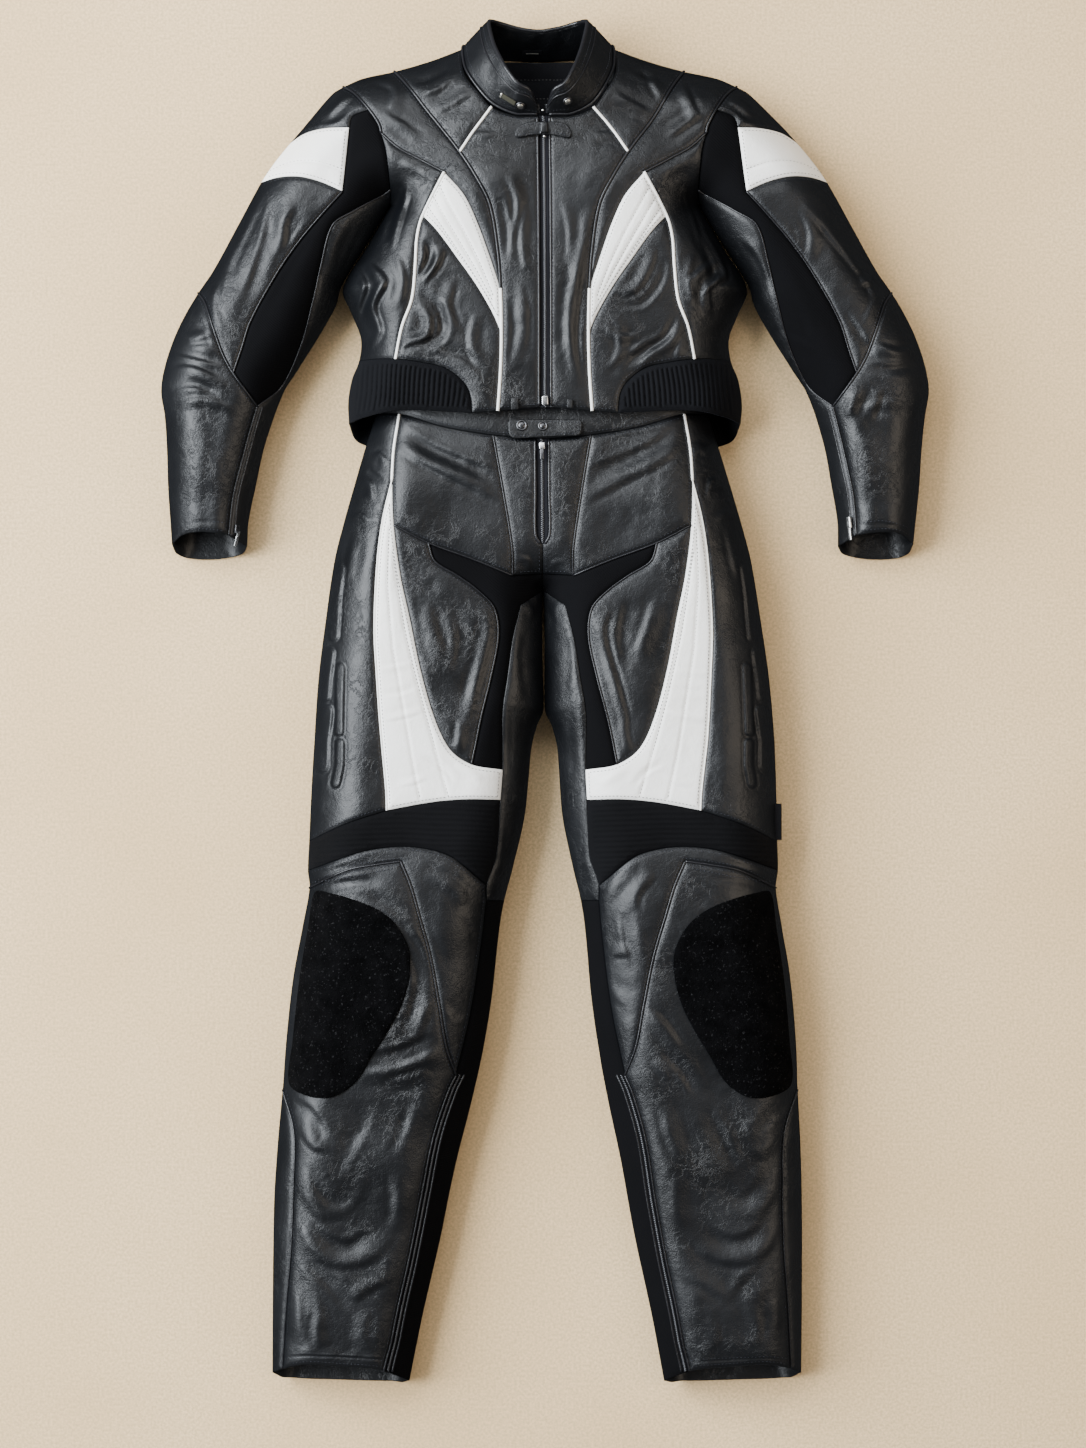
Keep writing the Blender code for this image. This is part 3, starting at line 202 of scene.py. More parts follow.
# Seams of one side of the trousers.
TROUSER_JOINS = {
    "waist_top": (170, 352), "waist_side": (182, 318), "acc_out": (257, -151), "roll_out": (258, -183),
    "band_out": (256, -202), "calf_top": (283, -424), "ankle_out": (291, -736), "waist_front": (0, 330),
    "waist_back": (0, 345), "seat_top": (0, 314), "crotch": (0, 124), "tip": (42, -216),
    "ankle_in": (140, -745), "waist_piping": (155, 315), "waist_c": (53, 291), "fly_top": (6, 287),
    "c_end": (33, 139), "fly_end": (0, 172), "fly_low": (0, 141), "piping_tip": (163, 242),
    "d_start": (161, 193), "v_tip": (124, 174), "white_in": (79, -66), "white_r": (45, -72),
    "acc_r": (47, -105), "roll_in": (61, -198), "tip_in": (61, -215), "white_out": (170, -116),
    "inner_top": (24, 107), "e_top": (154, -171), "h_top": (92, -405), "h_end": (167, -741),
    "g_end": (279, -735)}
TROUSER_SEAMS = {
    "outseam": ["waist_top", "waist_side", (193, 284), (202, 254), (219, 195), (229, 155), (240, 83),
                (247, 31), (252, -31), (255, -90), "acc_out", "roll_out", "band_out", (263, -244),
                (273, -301), (280, -370), "calf_top", (287, -480), (290, -543), (291, -640), "ankle_out"],
    "inseam": ["crotch", (1.2, 100), (1.2, 45), (1.2, -8), (8, -24), (14, -48), (17, -83), (21, -125),
               (33, -180), "tip", (47, -248), (55, -326), (65, -389), (75, -437), (91, -506), (107, -588),
               (126, -673), "ankle_in"],
    "waist_edge": ["waist_top", (90, 340), "waist_front"],
    "waist_edge_back": ["waist_top", (90, 347), "waist_back"],
    "waist_seam": ["waist_side", "waist_piping", (106, 300), "waist_c", "fly_top"],
    "seat_seam": ["waist_side", (90, 315), "seat_top"],
    "centre_back": ["seat_top", (0, 220), "crotch"],
    "fly": ["fly_top", (6, 230), (6, 182), "fly_end"],
    "centre_low": ["fly_end", "fly_low", "crotch"],
    "seam_c": ["waist_c", (42, 227), (33, 167), "c_end"],
    "seam_c_foot": ["c_end", "fly_low"],
    "seam_d": ["d_start", "v_tip", (75, 156), "c_end"],
    "side_piping": ["waist_piping", (161, 276), "piping_tip"],
    "white_outer": ["piping_tip", (173, 200), (179, 156), (183, 83), (181, 31), (177, -34), (171, -94),
                    "white_out"],
    "white_inner": ["piping_tip", "d_start", (154, 138), (145, 95), (133, 35), (118, -18), (102, -50),
                    "white_in", "white_r"],
    "white_foot": ["white_out", (120, -107), (83, -104), "acc_r"],
    "thigh_edge": ["v_tip", (117, 154), (92, 138), (69, 121), (53, 103), (49, 74), (57, 31), (69, -17),
                   "white_in"],
    "crotch_edge": ["crotch", "inner_top"],
    "inner_edge": ["inner_top", (33, 71), (39, 31), (45, -10), "white_r", "acc_r", (51, -167), "roll_in",
                   "tip_in"],
    "tip_edge": ["tip_in", "tip"],
    "acc_top": ["acc_out", (215, -131), "white_out"],
    "roll": ["roll_out", (216, -167), (184, -158), (152, -155), (124, -158), (98, -167), "roll_in"],
    "band": ["band_out", (213, -181), (183, -175), "e_top"],
    "seam_e": ["e_top", (143, -197), (133, -231), (121, -274), (111, -327), (103, -373), "h_top"],
    "strip_edge": ["tip_in", (66, -262), (77, -338), "h_top"],
    "seam_h": ["h_top", (101, -425), (116, -475), (128, -542), (141, -610), (153, -665), "h_end"],
    "seam_g": ["calf_top", (268, -468), (267, -522), (269, -592), (275, -664), "g_end"],
    "ankle_front": ["g_end", (252, -734), (207, -738), "h_end"],
    "ankle_gusset": ["h_end", "ankle_in"],
    "ankle_calf": ["g_end", "ankle_out"],
    "ankle_back": ["ankle_out", (280, -745), (224, -748.5), (150, -749.5), "ankle_in"]}
SIDE_EDGES = {"shoulder", "outer_arm", "inner_arm", "flank", "outseam", "inseam"}


# Panels of one side: node, garment, material, wall, then its patches. A patch faces up or
# lies at the back, and lists its seams in order; "=" marks the side edge over which the
# panel wraps from one patch into the other.
SIDE_PANELS = [
    ("jacket_front", "jacket", "leather_black", LEATHER, [("up",
        "neckline neck_front neck_piping, collar_piping neck_piping cross, princess cross hem_a, "
        "hem hem_a hem_front, zip_edge hem_front neck_front")]),
    ("jacket_yoke", "jacket", "leather_black", LEATHER, [("up",
        "shoulder neck yoke_top, princess yoke_top cross, collar_piping cross neck_piping, "
        "neckline neck_piping neck")]),
    ("jacket_shoulder", "jacket", "leather_black", LEATHER, [("up",
        "shoulder yoke_top tip, armhole tip arm_b, bust arm_b chest_tip, "
        "chest_inner chest_tip strip_end, princess strip_end yoke_top")]),
    ("chest_flash", "jacket", "leather_white", LEATHER, [("up",
        "chest_inner chest_tip strip_end, princess strip_end chest_end, "
        "chest_outer chest_end chest_corner, side_piping chest_corner chest_tip")]),
    ("jacket_lower_front", "jacket", "leather_black", LEATHER, [("up",
        "chest_outer chest_corner chest_end, princess chest_end hem_a, hem hem_a rib_hem, "
        "rib_top rib_hem rib_piping, side_piping rib_piping chest_corner")]),
    ("jacket_side", "jacket", "leather_black", LEATHER, [("up",
        "armhole arm_b armpit, flank armpit rib_side, rib_top rib_side rib_piping, "
        "side_piping rib_piping chest_tip, bust chest_tip arm_b")]),
    ("jacket_rib", "jacket", "rib_knit", KNIT, [
        ("up", "rib_top rib_side rib_hem, rib_bottom rib_hem rib_out, =flank rib_out rib_side"),
        ("back", "=flank rib_side rib_out, rib_back_edge rib_out rib_back_hem, "
                 "rib_back_seam rib_back_hem rib_back_top, rib_back_side rib_back_top rib_side")]),
    ("sleeve_cap", "jacket", "leather_black", LEATHER, [("up",
        "outer_arm tip band_top, band_upper band_top band_in_top, cap_edge band_in_top stretch_top, "
        "armhole stretch_top tip")]),
    ("sleeve_band", "jacket", "leather_white", LEATHER, [("up",
        "outer_arm band_top band_bottom, band_lower band_bottom band_in_bottom, "
        "band_inner band_in_bottom band_in_top, band_upper band_in_top band_top")]),
    ("sleeve_upper", "jacket", "leather_black", LEATHER, [("up",
        "outer_arm band_bottom elbow_out, elbow elbow_out elbow_mid, "
        "arm_stretch elbow_mid band_in_bottom, band_lower band_in_bottom band_bottom")]),
    ("sleeve_stretch", "jacket", "stretch_fabric", STRETCH, [("up",
        "cap_edge stretch_top band_in_top, band_inner band_in_top band_in_bottom, "
        "arm_stretch band_in_bottom elbow_mid, elbow elbow_mid zip_top, arm_inner zip_top inner_top, "
        "armhole inner_top stretch_top")]),
    ("sleeve_under", "jacket", "leather_black", LEATHER, [
        ("up", "armhole inner_top armpit, =inner_arm armpit cuff_in, cuff_zip_end cuff_in zip_end, "
               "cuff_zip zip_end zip_top, arm_inner zip_top inner_top"),
        ("back", "=inner_arm armpit cuff_in, cuff_back cuff_in cuff_out, outer_arm cuff_out tip, "
                 "armhole_back tip armpit")]),
    ("sleeve_forearm", "jacket", "leather_black", LEATHER, [("up",
        "elbow elbow_out zip_top, cuff_zip zip_top zip_end, cuff_front zip_end cuff_out, "
        "outer_arm cuff_out elbow_out")]),
    ("trouser_front", "trousers", "leather_black", LEATHER, [("up",
        "waist_seam waist_c fly_top, fly fly_top fly_end, centre_low fly_end fly_low, "
        "seam_c_foot fly_low c_end, seam_c c_end waist_c")]),
    ("trouser_hip", "trousers", "leather_black", LEATHER, [("up",
        "waist_seam waist_piping waist_c, seam_c waist_c c_end, seam_d c_end d_start, "
        "white_inner d_start piping_tip, side_piping piping_tip waist_piping")]),
    ("trouser_thigh", "trousers", "leather_black", LEATHER, [("up",
        "seam_d d_start v_tip, thigh_edge v_tip white_in, white_inner white_in d_start")]),
    ("trouser_stretch", "trousers", "stretch_fabric", STRETCH, [("up",
        "seam_d v_tip c_end, seam_c_foot c_end fly_low, centre_low fly_low crotch, "
        "crotch_edge crotch inner_top, inner_edge inner_top white_r, white_inner white_r white_in, "
        "thigh_edge white_in v_tip")]),
    ("thigh_flash", "trousers", "leather_white", LEATHER, [("up",
        "white_outer piping_tip white_out, white_foot white_out acc_r, inner_edge acc_r white_r, "
        "white_inner white_r piping_tip")]),
    ("trouser_side", "trousers", "leather_black", LEATHER, [("up",
        "waist_seam waist_piping waist_side, outseam waist_side acc_out, acc_top acc_out white_out, "
        "white_outer white_out piping_tip, side_piping piping_tip waist_piping")]),
    ("knee_pleats", "trousers", "leather_black", LEATHER, [("up",
        "acc_top acc_out white_out, white_foot white_out acc_r, inner_edge acc_r roll_in, "
        "roll roll_in roll_out, outseam roll_out acc_out")]),
    ("knee_panel", "trousers", "leather_black", LEATHER, [("up",
        "roll roll_out roll_in, inner_edge roll_in tip_in, strip_edge tip_in h_top, "
        "seam_e h_top e_top, band e_top band_out, outseam band_out roll_out")]),
    ("calf_stretch", "trousers", "stretch_fabric", STRETCH, [("up",
        "tip_edge tip_in tip, inseam tip ankle_in, ankle_gusset ankle_in h_end, "
        "seam_h h_end h_top, strip_edge h_top tip_in")]),
    ("shin_panel", "trousers", "leather_black", LEATHER, [("up",
        "band band_out e_top, seam_e e_top h_top, seam_h h_top h_end, ankle_front h_end g_end, "
        "seam_g g_end calf_top, outseam calf_top band_out")]),
    ("leg_back", "trousers", "leather_black", LEATHER, [
        ("up", "crotch_edge crotch inner_top, inner_edge inner_top tip_in, tip_edge tip_in tip, "
               "=inseam tip crotch"),
        ("up", "seam_g calf_top g_end, ankle_calf g_end ankle_out, =outseam ankle_out calf_top"),
        ("back", "outseam waist_side calf_top, =outseam calf_top ankle_out, ankle_back ankle_out ankle_in, "
                 "inseam ankle_in tip, =inseam tip crotch, centre_back crotch seat_top, "
                 "seat_seam seat_top waist_side")])]

# Panels that cross the centre line: the wearer's right half is listed, from the middle of
# one end to the middle of the other.
CENTRE_PANELS = [
    ("jacket_back", "jacket", "leather_black", LEATHER, [("back",
        "neck_back back_neck neck, shoulder neck tip, armhole_back tip armpit, flank armpit rib_side, "
        "rib_back_side rib_side rib_back_top, rib_back_seam rib_back_top rib_back_hem, "
        "back_edge rib_back_hem back_hem")]),
    ("waistband", "trousers", "leather_black", LEATHER, [
        ("up", "waist_edge waist_front waist_top, =outseam waist_top waist_side, "
               "waist_seam waist_side fly_top"),
        ("back", "waist_edge_back waist_back waist_top, =outseam waist_top waist_side, "
                 "seat_seam waist_side seat_top")])]

# Knee slider pad: its outline on the shin, from its top outer corner and round.
SLIDER_OUTLINE = [
    (249, -206), (233, -206), (206, -212), (177, -224), (157, -241), (144, -267), (143, -291), (150, -321),
    (163, -349), (183, -382), (201, -411), (225, -427), (253, -427), (275, -416), (272, -370), (265, -301),
    (256, -244)]
SLIDER_THICK, SLIDER_WALL, SLIDER_CURL = 3.0, 2.4, 0.5
SLIDER_BORDER, SLIDER_REACH = 0.45, 3.0   # share of its thickness at its border, and over what

# Lining inside the back of the neck, half of it drawn from the centre line
LINING_EDGE = [(0, 709), (58, 711), (76, 700), (72, 650), (48, 606), (0, 590)]
LINING_ROWS = np.array([691.0, 670.0, 648.0])
LINING_LIFT, LINING_THICK, LINING_GRID = 2.4, 0.7, 3.0
LINING_WAVE, LINING_DIP, LINING_DIP_REACH, LINING_STITCH_DIP = 0.8, 1.2, 3.0, 0.9
LINING_STITCHED = (62, 30)     # where a row of its stitches starts, and a point on the way

# Tabs, drawn whole from the centre line: the bow that parks the front zip, and the waist tab.
COLLAR_TAB = [(0, 627), (-12, 628), (-24, 625), (-31, 618), (-30, 610), (-14, 613), (0, 614),
              (14, 613), (28, 609), (31, 617), (24, 626), (12, 628)]
WAIST_TAB = [(-36, 308), (-36, 292), (-31, 286.5), (0, 288.5), (42, 290), (44, 307)]

COLLAR_STEP, COLLAR_LEVELS = 3.0, 15      # point spacing round the collar, and rows up it
COLLAR_FRONT_ROWS = 8     # rows before the shoulder seam, which start on the front's form
COLLAR_BULGE, COLLAR_WAVE = 2.5, 0.7
COLLAR_RIDGE, COLLAR_RIDGE_RADIUS = 0.72, 0.9       # share of its height where a ridge runs
COLLAR_STITCHES = (0.16, 0.84)                      # and where its rows of stitches run
COLLAR_ROLL, COLLAR_END_ROLL = 0.35, 0.3  # the rolled edge is this much fuller than the wall
COLLAR_END_POINTS = 12
COLLAR_FOOT_LIFT, COLLAR_FOOT_RADIUS = 0.4, 1.5

# Collar: bottom on the neck seam and top edge, from the front end round to the middle of the
# back. The bottom edge's height comes from the form, the top edge's is given.
COLLAR_ROWS = [
    # bottom u, v   top u, v, z
    (5.0, 636.5, 5, 645, 103),
    (18, 636.8, 13, 657, 122),
    (31, 637.5, 26, 663, 127),
    (52.5, 648, 37, 680, 122),
    (66, 663.5, 43, 694, 113),
    (78.5, 685.5, 49, 712, 98),
    (82, 702, 53, 729, 81),
    (82, 720, 55, 744, 62),
    (76, 723, 51, 748, 48),
    (66, 721, 43, 748, 38),
    (45, 716.5, 27, 744, 33),
    (20, 714.5, 12, 741, 32),
    (0, 714, 0, 740, 31)]

# Creases: sides (-1 the wearer's right, 1 the left, 0 both), depth (a trough if negative),
# width, and the points (u, v) they run through
JACKET_FOLDS = [
    (0, 3.2, 8, [(200, 667), (218, 655), (235, 641)]),
    (0, -2.6, 7, [(207, 649), (226, 635), (245, 629)]),
    (-1, 3.0, 10, [(308, 556), (327, 516), (344, 479), (352, 439)]),
    (0, 2.4, 9, [(271, 544), (284, 516), (281, 479)]),
    (-1, -3.2, 10, [(293, 556), (302, 503), (324, 435)]),
    (0, 2.6, 8, [(256, 528), (287, 473), (312, 429)]),
    (0, 2.2, 7, [(355, 466), (361, 435), (349, 404)]),
    (-1, 3.2, 8, [(411, 414), (386, 397), (355, 404)]),
    (-1, -3.0, 7, [(412, 389), (383, 378), (349, 370)]),
    (-1, 3.4, 8, [(411, 364), (383, 363), (346, 346)]),
    (-1, -2.4, 6, [(409, 343), (380, 346), (352, 333)]),
    (0, 2.6, 7, [(402, 324), (374, 330), (340, 321)]),
    (0, 2.0, 7, [(383, 429), (368, 414), (358, 386)]),
    (-1, 3.0, 7, [(209, 531), (228, 500), (239, 457)]),
    (-1, -2.2, 6, [(194, 528), (213, 491), (228, 454)]),
    (-1, 5.0, 7, [(194, 479), (174, 457), (187, 432), (180, 404), (191, 389)]),
    (-1, -4.5, 7, [(206, 485), (191, 454), (202, 423), (196, 401)]),
    (0, 3.2, 6, [(146, 565), (157, 528), (166, 491)]),
    (0, -2.8, 6, [(156, 565), (168, 528), (175, 503)]),
    (0, 2.6, 6, [(160, 485), (152, 457), (157, 429)]),
    (-1, 4.2, 7, [(109, 494), (118, 473), (134, 454)]),
    (-1, -4.2, 7, [(129, 503), (126, 479), (139, 457)]),
    (-1, 4.6, 7, [(142, 439), (125, 417), (128, 397), (151, 389), (162, 380)]),
    (-1, -3.8, 7, [(136, 445), (114, 423), (114, 398), (136, 386)]),
    (-1, 2.6, 8, [(98, 460), (105, 429), (92, 398)]),
    (0, 2.4, 8, [(74, 423), (80, 392), (71, 361)]),
    (0, -2.2, 8, [(114, 383), (86, 374), (64, 355)]),
    (-1, 2.8, 8, [(40, 572), (28, 541), (33, 503)]),
    (-1, -2.4, 7, [(48, 547), (41, 510), (43, 473)]),
    (0, 2.4, 7, [(17, 541), (24, 503), (21, 466)]),
    (0, 1.8, 7, [(27, 454), (21, 417), (23, 380)]),
    (0, -1.6, 6, [(37, 439), (35, 398), (40, 361)]),
    (-1, 3.0, 9, [(182, 683), (158, 670), (164, 643)]),
    (0, 2.4, 8, [(176, 640), (159, 630), (134, 612)]),
    (-1, 2.8, 9, [(134, 661), (112, 667), (89, 686)]),
    (0, -2.6, 8, [(140, 674), (118, 680), (98, 692)]),
    (0, 2.2, 8, [(118, 640), (98, 649), (76, 661)]),
    (0, 2.0, 7, [(85, 609), (72, 615), (51, 612)]),
    (0, 2.0, 7, [(156, 587), (135, 578), (119, 565)]),
    (1, 4.4, 6, [(171, 520), (189, 489), (196, 464), (177, 452), (180, 420)]),
    (1, -3.6, 6, [(161, 514), (178, 483), (183, 461), (167, 445), (170, 417)]),
    (1, 3.4, 6, [(152, 452), (171, 470), (189, 483)]),
    (1, 2.6, 8, [(68, 447), (95, 446), (112, 470), (118, 498)]),
    (1, -2.0, 7, [(80, 430), (104, 431), (125, 455), (131, 486)]),
    (1, 2.6, 8, [(150, 425), (139, 396), (112, 374), (92, 341)]),
    (1, -2.4, 7, [(139, 418), (127, 394), (104, 381), (83, 354)]),
    (1, 2.0, 6, [(66, 410), (80, 396), (102, 398)]),
    (1, 2.2, 6, [(153, 398), (143, 378), (150, 356)]),
    (1, 2.6, 8, [(56, 552), (36, 467), (30, 389), (36, 342)]),
    (1, -2.2, 7, [(63, 539), (46, 464), (39, 396)]),
    (1, 3.0, 8, [(277, 545), (296, 527), (333, 483), (364, 439)]),
    (1, 3.4, 7, [(342, 455), (355, 460), (367, 455)]),
    (1, -3.0, 7, [(326, 424), (348, 392), (358, 371)]),
    (1, 3.0, 8, [(339, 342), (327, 311)]),
    (1, 2.6, 8, [(364, 342), (353, 308)]),
    (1, 3.6, 8, [(411, 392), (386, 382), (352, 390)]),
    (1, -3.0, 7, [(412, 372), (384, 364), (350, 366)]),
    (1, 3.0, 6, [(214, 508), (233, 486), (245, 458)]),
    (1, -2.6, 6, [(264, 436), (277, 420), (286, 396)]),
    (1, 3.0, 7, [(252, 405), (277, 394), (295, 380)]),
    (1, 2.8, 8, [(118, 695), (125, 670), (136, 648)]),
    (1, 2.8, 8, [(151, 683), (166, 633)]),
    (0, -1.5, 3, [(411, 188), (388, 196), (368, 199), (343, 196)])]
TROUSER_FOLDS = [
    (0, 3.4, 10, [(156, 284), (129, 264), (91, 245), (46, 221)]),
    (0, -3.2, 9, [(152, 297), (124, 278), (85, 261), (49, 247)]),
    (0, 2.4, 8, [(140, 306), (96, 300), (63, 292)]),
    (0, 3.0, 7, [(188, 268), (177, 271), (168, 259)]),
    (0, -2.6, 6, [(191, 256), (180, 247), (171, 239)]),
    (0, 3.0, 7, [(198, 247), (188, 239), (185, 220)]),
    (0, 2.4, 6, [(212, 203), (199, 206), (188, 197)]),
    (0, 2.0, 8, [(205, 186), (211, 153), (217, 131)]),
    (0, 2.6, 12, [(128, 108), (120, 81), (109, 47)]),
    (0, -2.0, 12, [(97, 108), (89, 72), (95, 31)]),
    (0, 3.0, 8, [(69, 108), (58, 86), (62, 58), (73, 19), (85, -28)]),
    (0, 2.6, 8, [(90, -17), (93, -42), (101, -58)]),
    (0, 2.4, 10, [(28, 81), (31, 47), (26, 3)]),
    (0, 2.2, 8, [(43, 11), (43, -31), (46, -72)]),
    (0, 3.4, 6, [(31, 100), (19, 110), (7, 92)]),
    (0, 2.8, 5, [(14, 124), (4, 135), (-3, 125)]),
    (0, -2.6, 5, [(3, 111), (-7, 94), (-11, 81)]),
    (0, 2.2, 5, [(30, 158), (16, 156), (14, 142)]),
    (0, 1.2, 5, [(187, 37), (165, 39), (142, 43)]),
    (0, -1.2, 5, [(184, 11), (159, 11), (137, 18)]),
    (0, 1.4, 5, [(179, -18), (154, -14), (129, -7)]),
    (0, 1.2, 5, [(159, -88), (143, -86), (125, -79)]),
    (0, 1.8, 6, [(96, -65), (82, -72), (65, -83)]),
    (0, -1.6, 5, [(132, -58), (110, -70), (98, -86)]),
    (0, 3.6, 8, [(249, -183), (218, -166), (181, -155), (143, -154)]),
    (0, 2.4, 8, [(252, -197), (218, -187), (180, -183)]),
    (0, -3.2, 6, [(254, -187), (218, -178), (185, -171)]),
    (0, -1.9, 8, [(239, -206), (209, -197), (175, -194)]),
    (-1, 2.6, 9, [(178, -216), (147, -237), (127, -263), (115, -296)]),
    (-1, -2.2, 9, [(190, -206), (159, -225), (139, -249)]),
    (-1, -2.4, 10, [(142, -268), (134, -296), (139, -329), (150, -358)]),
    (-1, 1.9, 10, [(120, -315), (127, -339), (138, -362)]),
    (-1, 2.7, 10, [(197, -402), (159, -398), (131, -388), (105, -374)]),
    (-1, -2.7, 10, [(188, -386), (150, -376), (115, -360)]),
    (-1, 2.1, 8, [(168, -414), (145, -407), (119, -398)]),
    (-1, 1.8, 11, [(83, -225), (65, -254), (68, -296)]),
    (-1, -1.6, 10, [(101, -320), (91, -339), (79, -334)]),
    (-1, 1.9, 9, [(128, -183), (95, -197), (81, -216)]),
    (0, 2.2, 7, [(49, -131), (51, -154), (46, -183)]),
    (0, -1.9, 10, [(269, -434), (248, -446), (231, -472)]),
    (0, 2.0, 10, [(262, -460), (242, -481), (226, -481)]),
    (0, 1.9, 12, [(263, -500), (256, -529), (234, -555), (203, -552)]),
    (0, -1.6, 12, [(249, -500), (237, -529), (217, -543), (194, -524)]),
    (0, 2.1, 12, [(260, -562), (241, -595), (212, -608), (179, -599), (158, -573)]),
    (0, -1.9, 12, [(255, -547), (234, -581), (208, -590), (179, -576)]),
    (0, -2.1, 12, [(264, -595), (241, -618), (222, -637), (205, -661)]),
    (0, 1.9, 10, [(203, -649), (184, -635), (158, -623)]),
    (0, 1.9, 13, [(267, -618), (264, -651), (261, -692)]),
    (0, -1.4, 10, [(248, -637), (245, -666), (246, -701)]),
    (0, 1.4, 10, [(233, -656), (240, -682), (235, -706)]),
    (0, 1.9, 12, [(135, -434), (141, -465), (155, -495)]),
    (0, -1.6, 12, [(186, -443), (205, -481), (218, -510)]),
    (0, 1.5, 12, [(157, -510), (151, -543), (156, -571)]),
    (0, 1.4, 10, [(184, -661), (190, -689), (183, -708)]),
    (0, 1.0, 6, [(284, -458), (284, -529), (285, -590)]),
    (1, 2.4, 9, [(80, -187), (66, -216), (64, -235)]),
    (1, 2.4, 9, [(120, -183), (101, -206), (99, -225)]),
    (1, -2.1, 9, [(87, -225), (92, -254), (100, -287)]),
    (1, 2.1, 8, [(69, -277), (83, -270), (97, -272)]),
    (1, 2.6, 9, [(67, -291), (69, -310), (93, -327)]),
    (1, 2.6, 10, [(110, -329), (131, -348), (150, -374)]),
    (1, 2.2, 9, [(122, -386), (141, -410)]),
    (1, -2.4, 9, [(131, -376), (151, -395), (170, -424)]),
    (0, -1.6, 3, [(290, -722), (250, -721), (207, -724), (156, -729)])]


def smooth_step(x):
    x = np.clip(x, 0.0, 1.0)
    return x * x * (3.0 - 2.0 * x)


def line_x(line, v):
    """x of the centre line at v."""
    vs, xs = zip(*reversed(line))
    return np.interp(v, vs, xs)


def curve_points(seam, joins, step=SEAM_STEP):
    """Points along a seam, with the place of each named point among them."""
    points = np.array([joins[row] if isinstance(row, str) else row for row in seam], float)
    ahead = np.vstack([2 * points[0] - points[1], points, 2 * points[-1] - points[-2]])
    out, places = [], {}
    for i in range(len(points) - 1):
        if isinstance(seam[i], str):
            places[seam[i]] = len(out)
        p0, p1, p2, p3 = ahead[i:i + 4]
        chord = np.linalg.norm(p2 - p1)
        tangent_1 = (p2 - p0) * chord / (chord + np.linalg.norm(p1 - p0))
        tangent_2 = (p3 - p1) * chord / (np.linalg.norm(p3 - p2) + chord)
        count = max(1, round(chord / step))
        for k in range(count):
            t = k / count
            out.append((2 * t**3 - 3 * t**2 + 1) * p1 + (t**3 - 2 * t**2 + t) * tangent_1
                       + (3 * t**2 - 2 * t**3) * p2 + (t**3 - t**2) * tangent_2)
    if isinstance(seam[-1], str):
        places[seam[-1]] = len(out)
    out.append(points[-1])
    return np.array(out), places


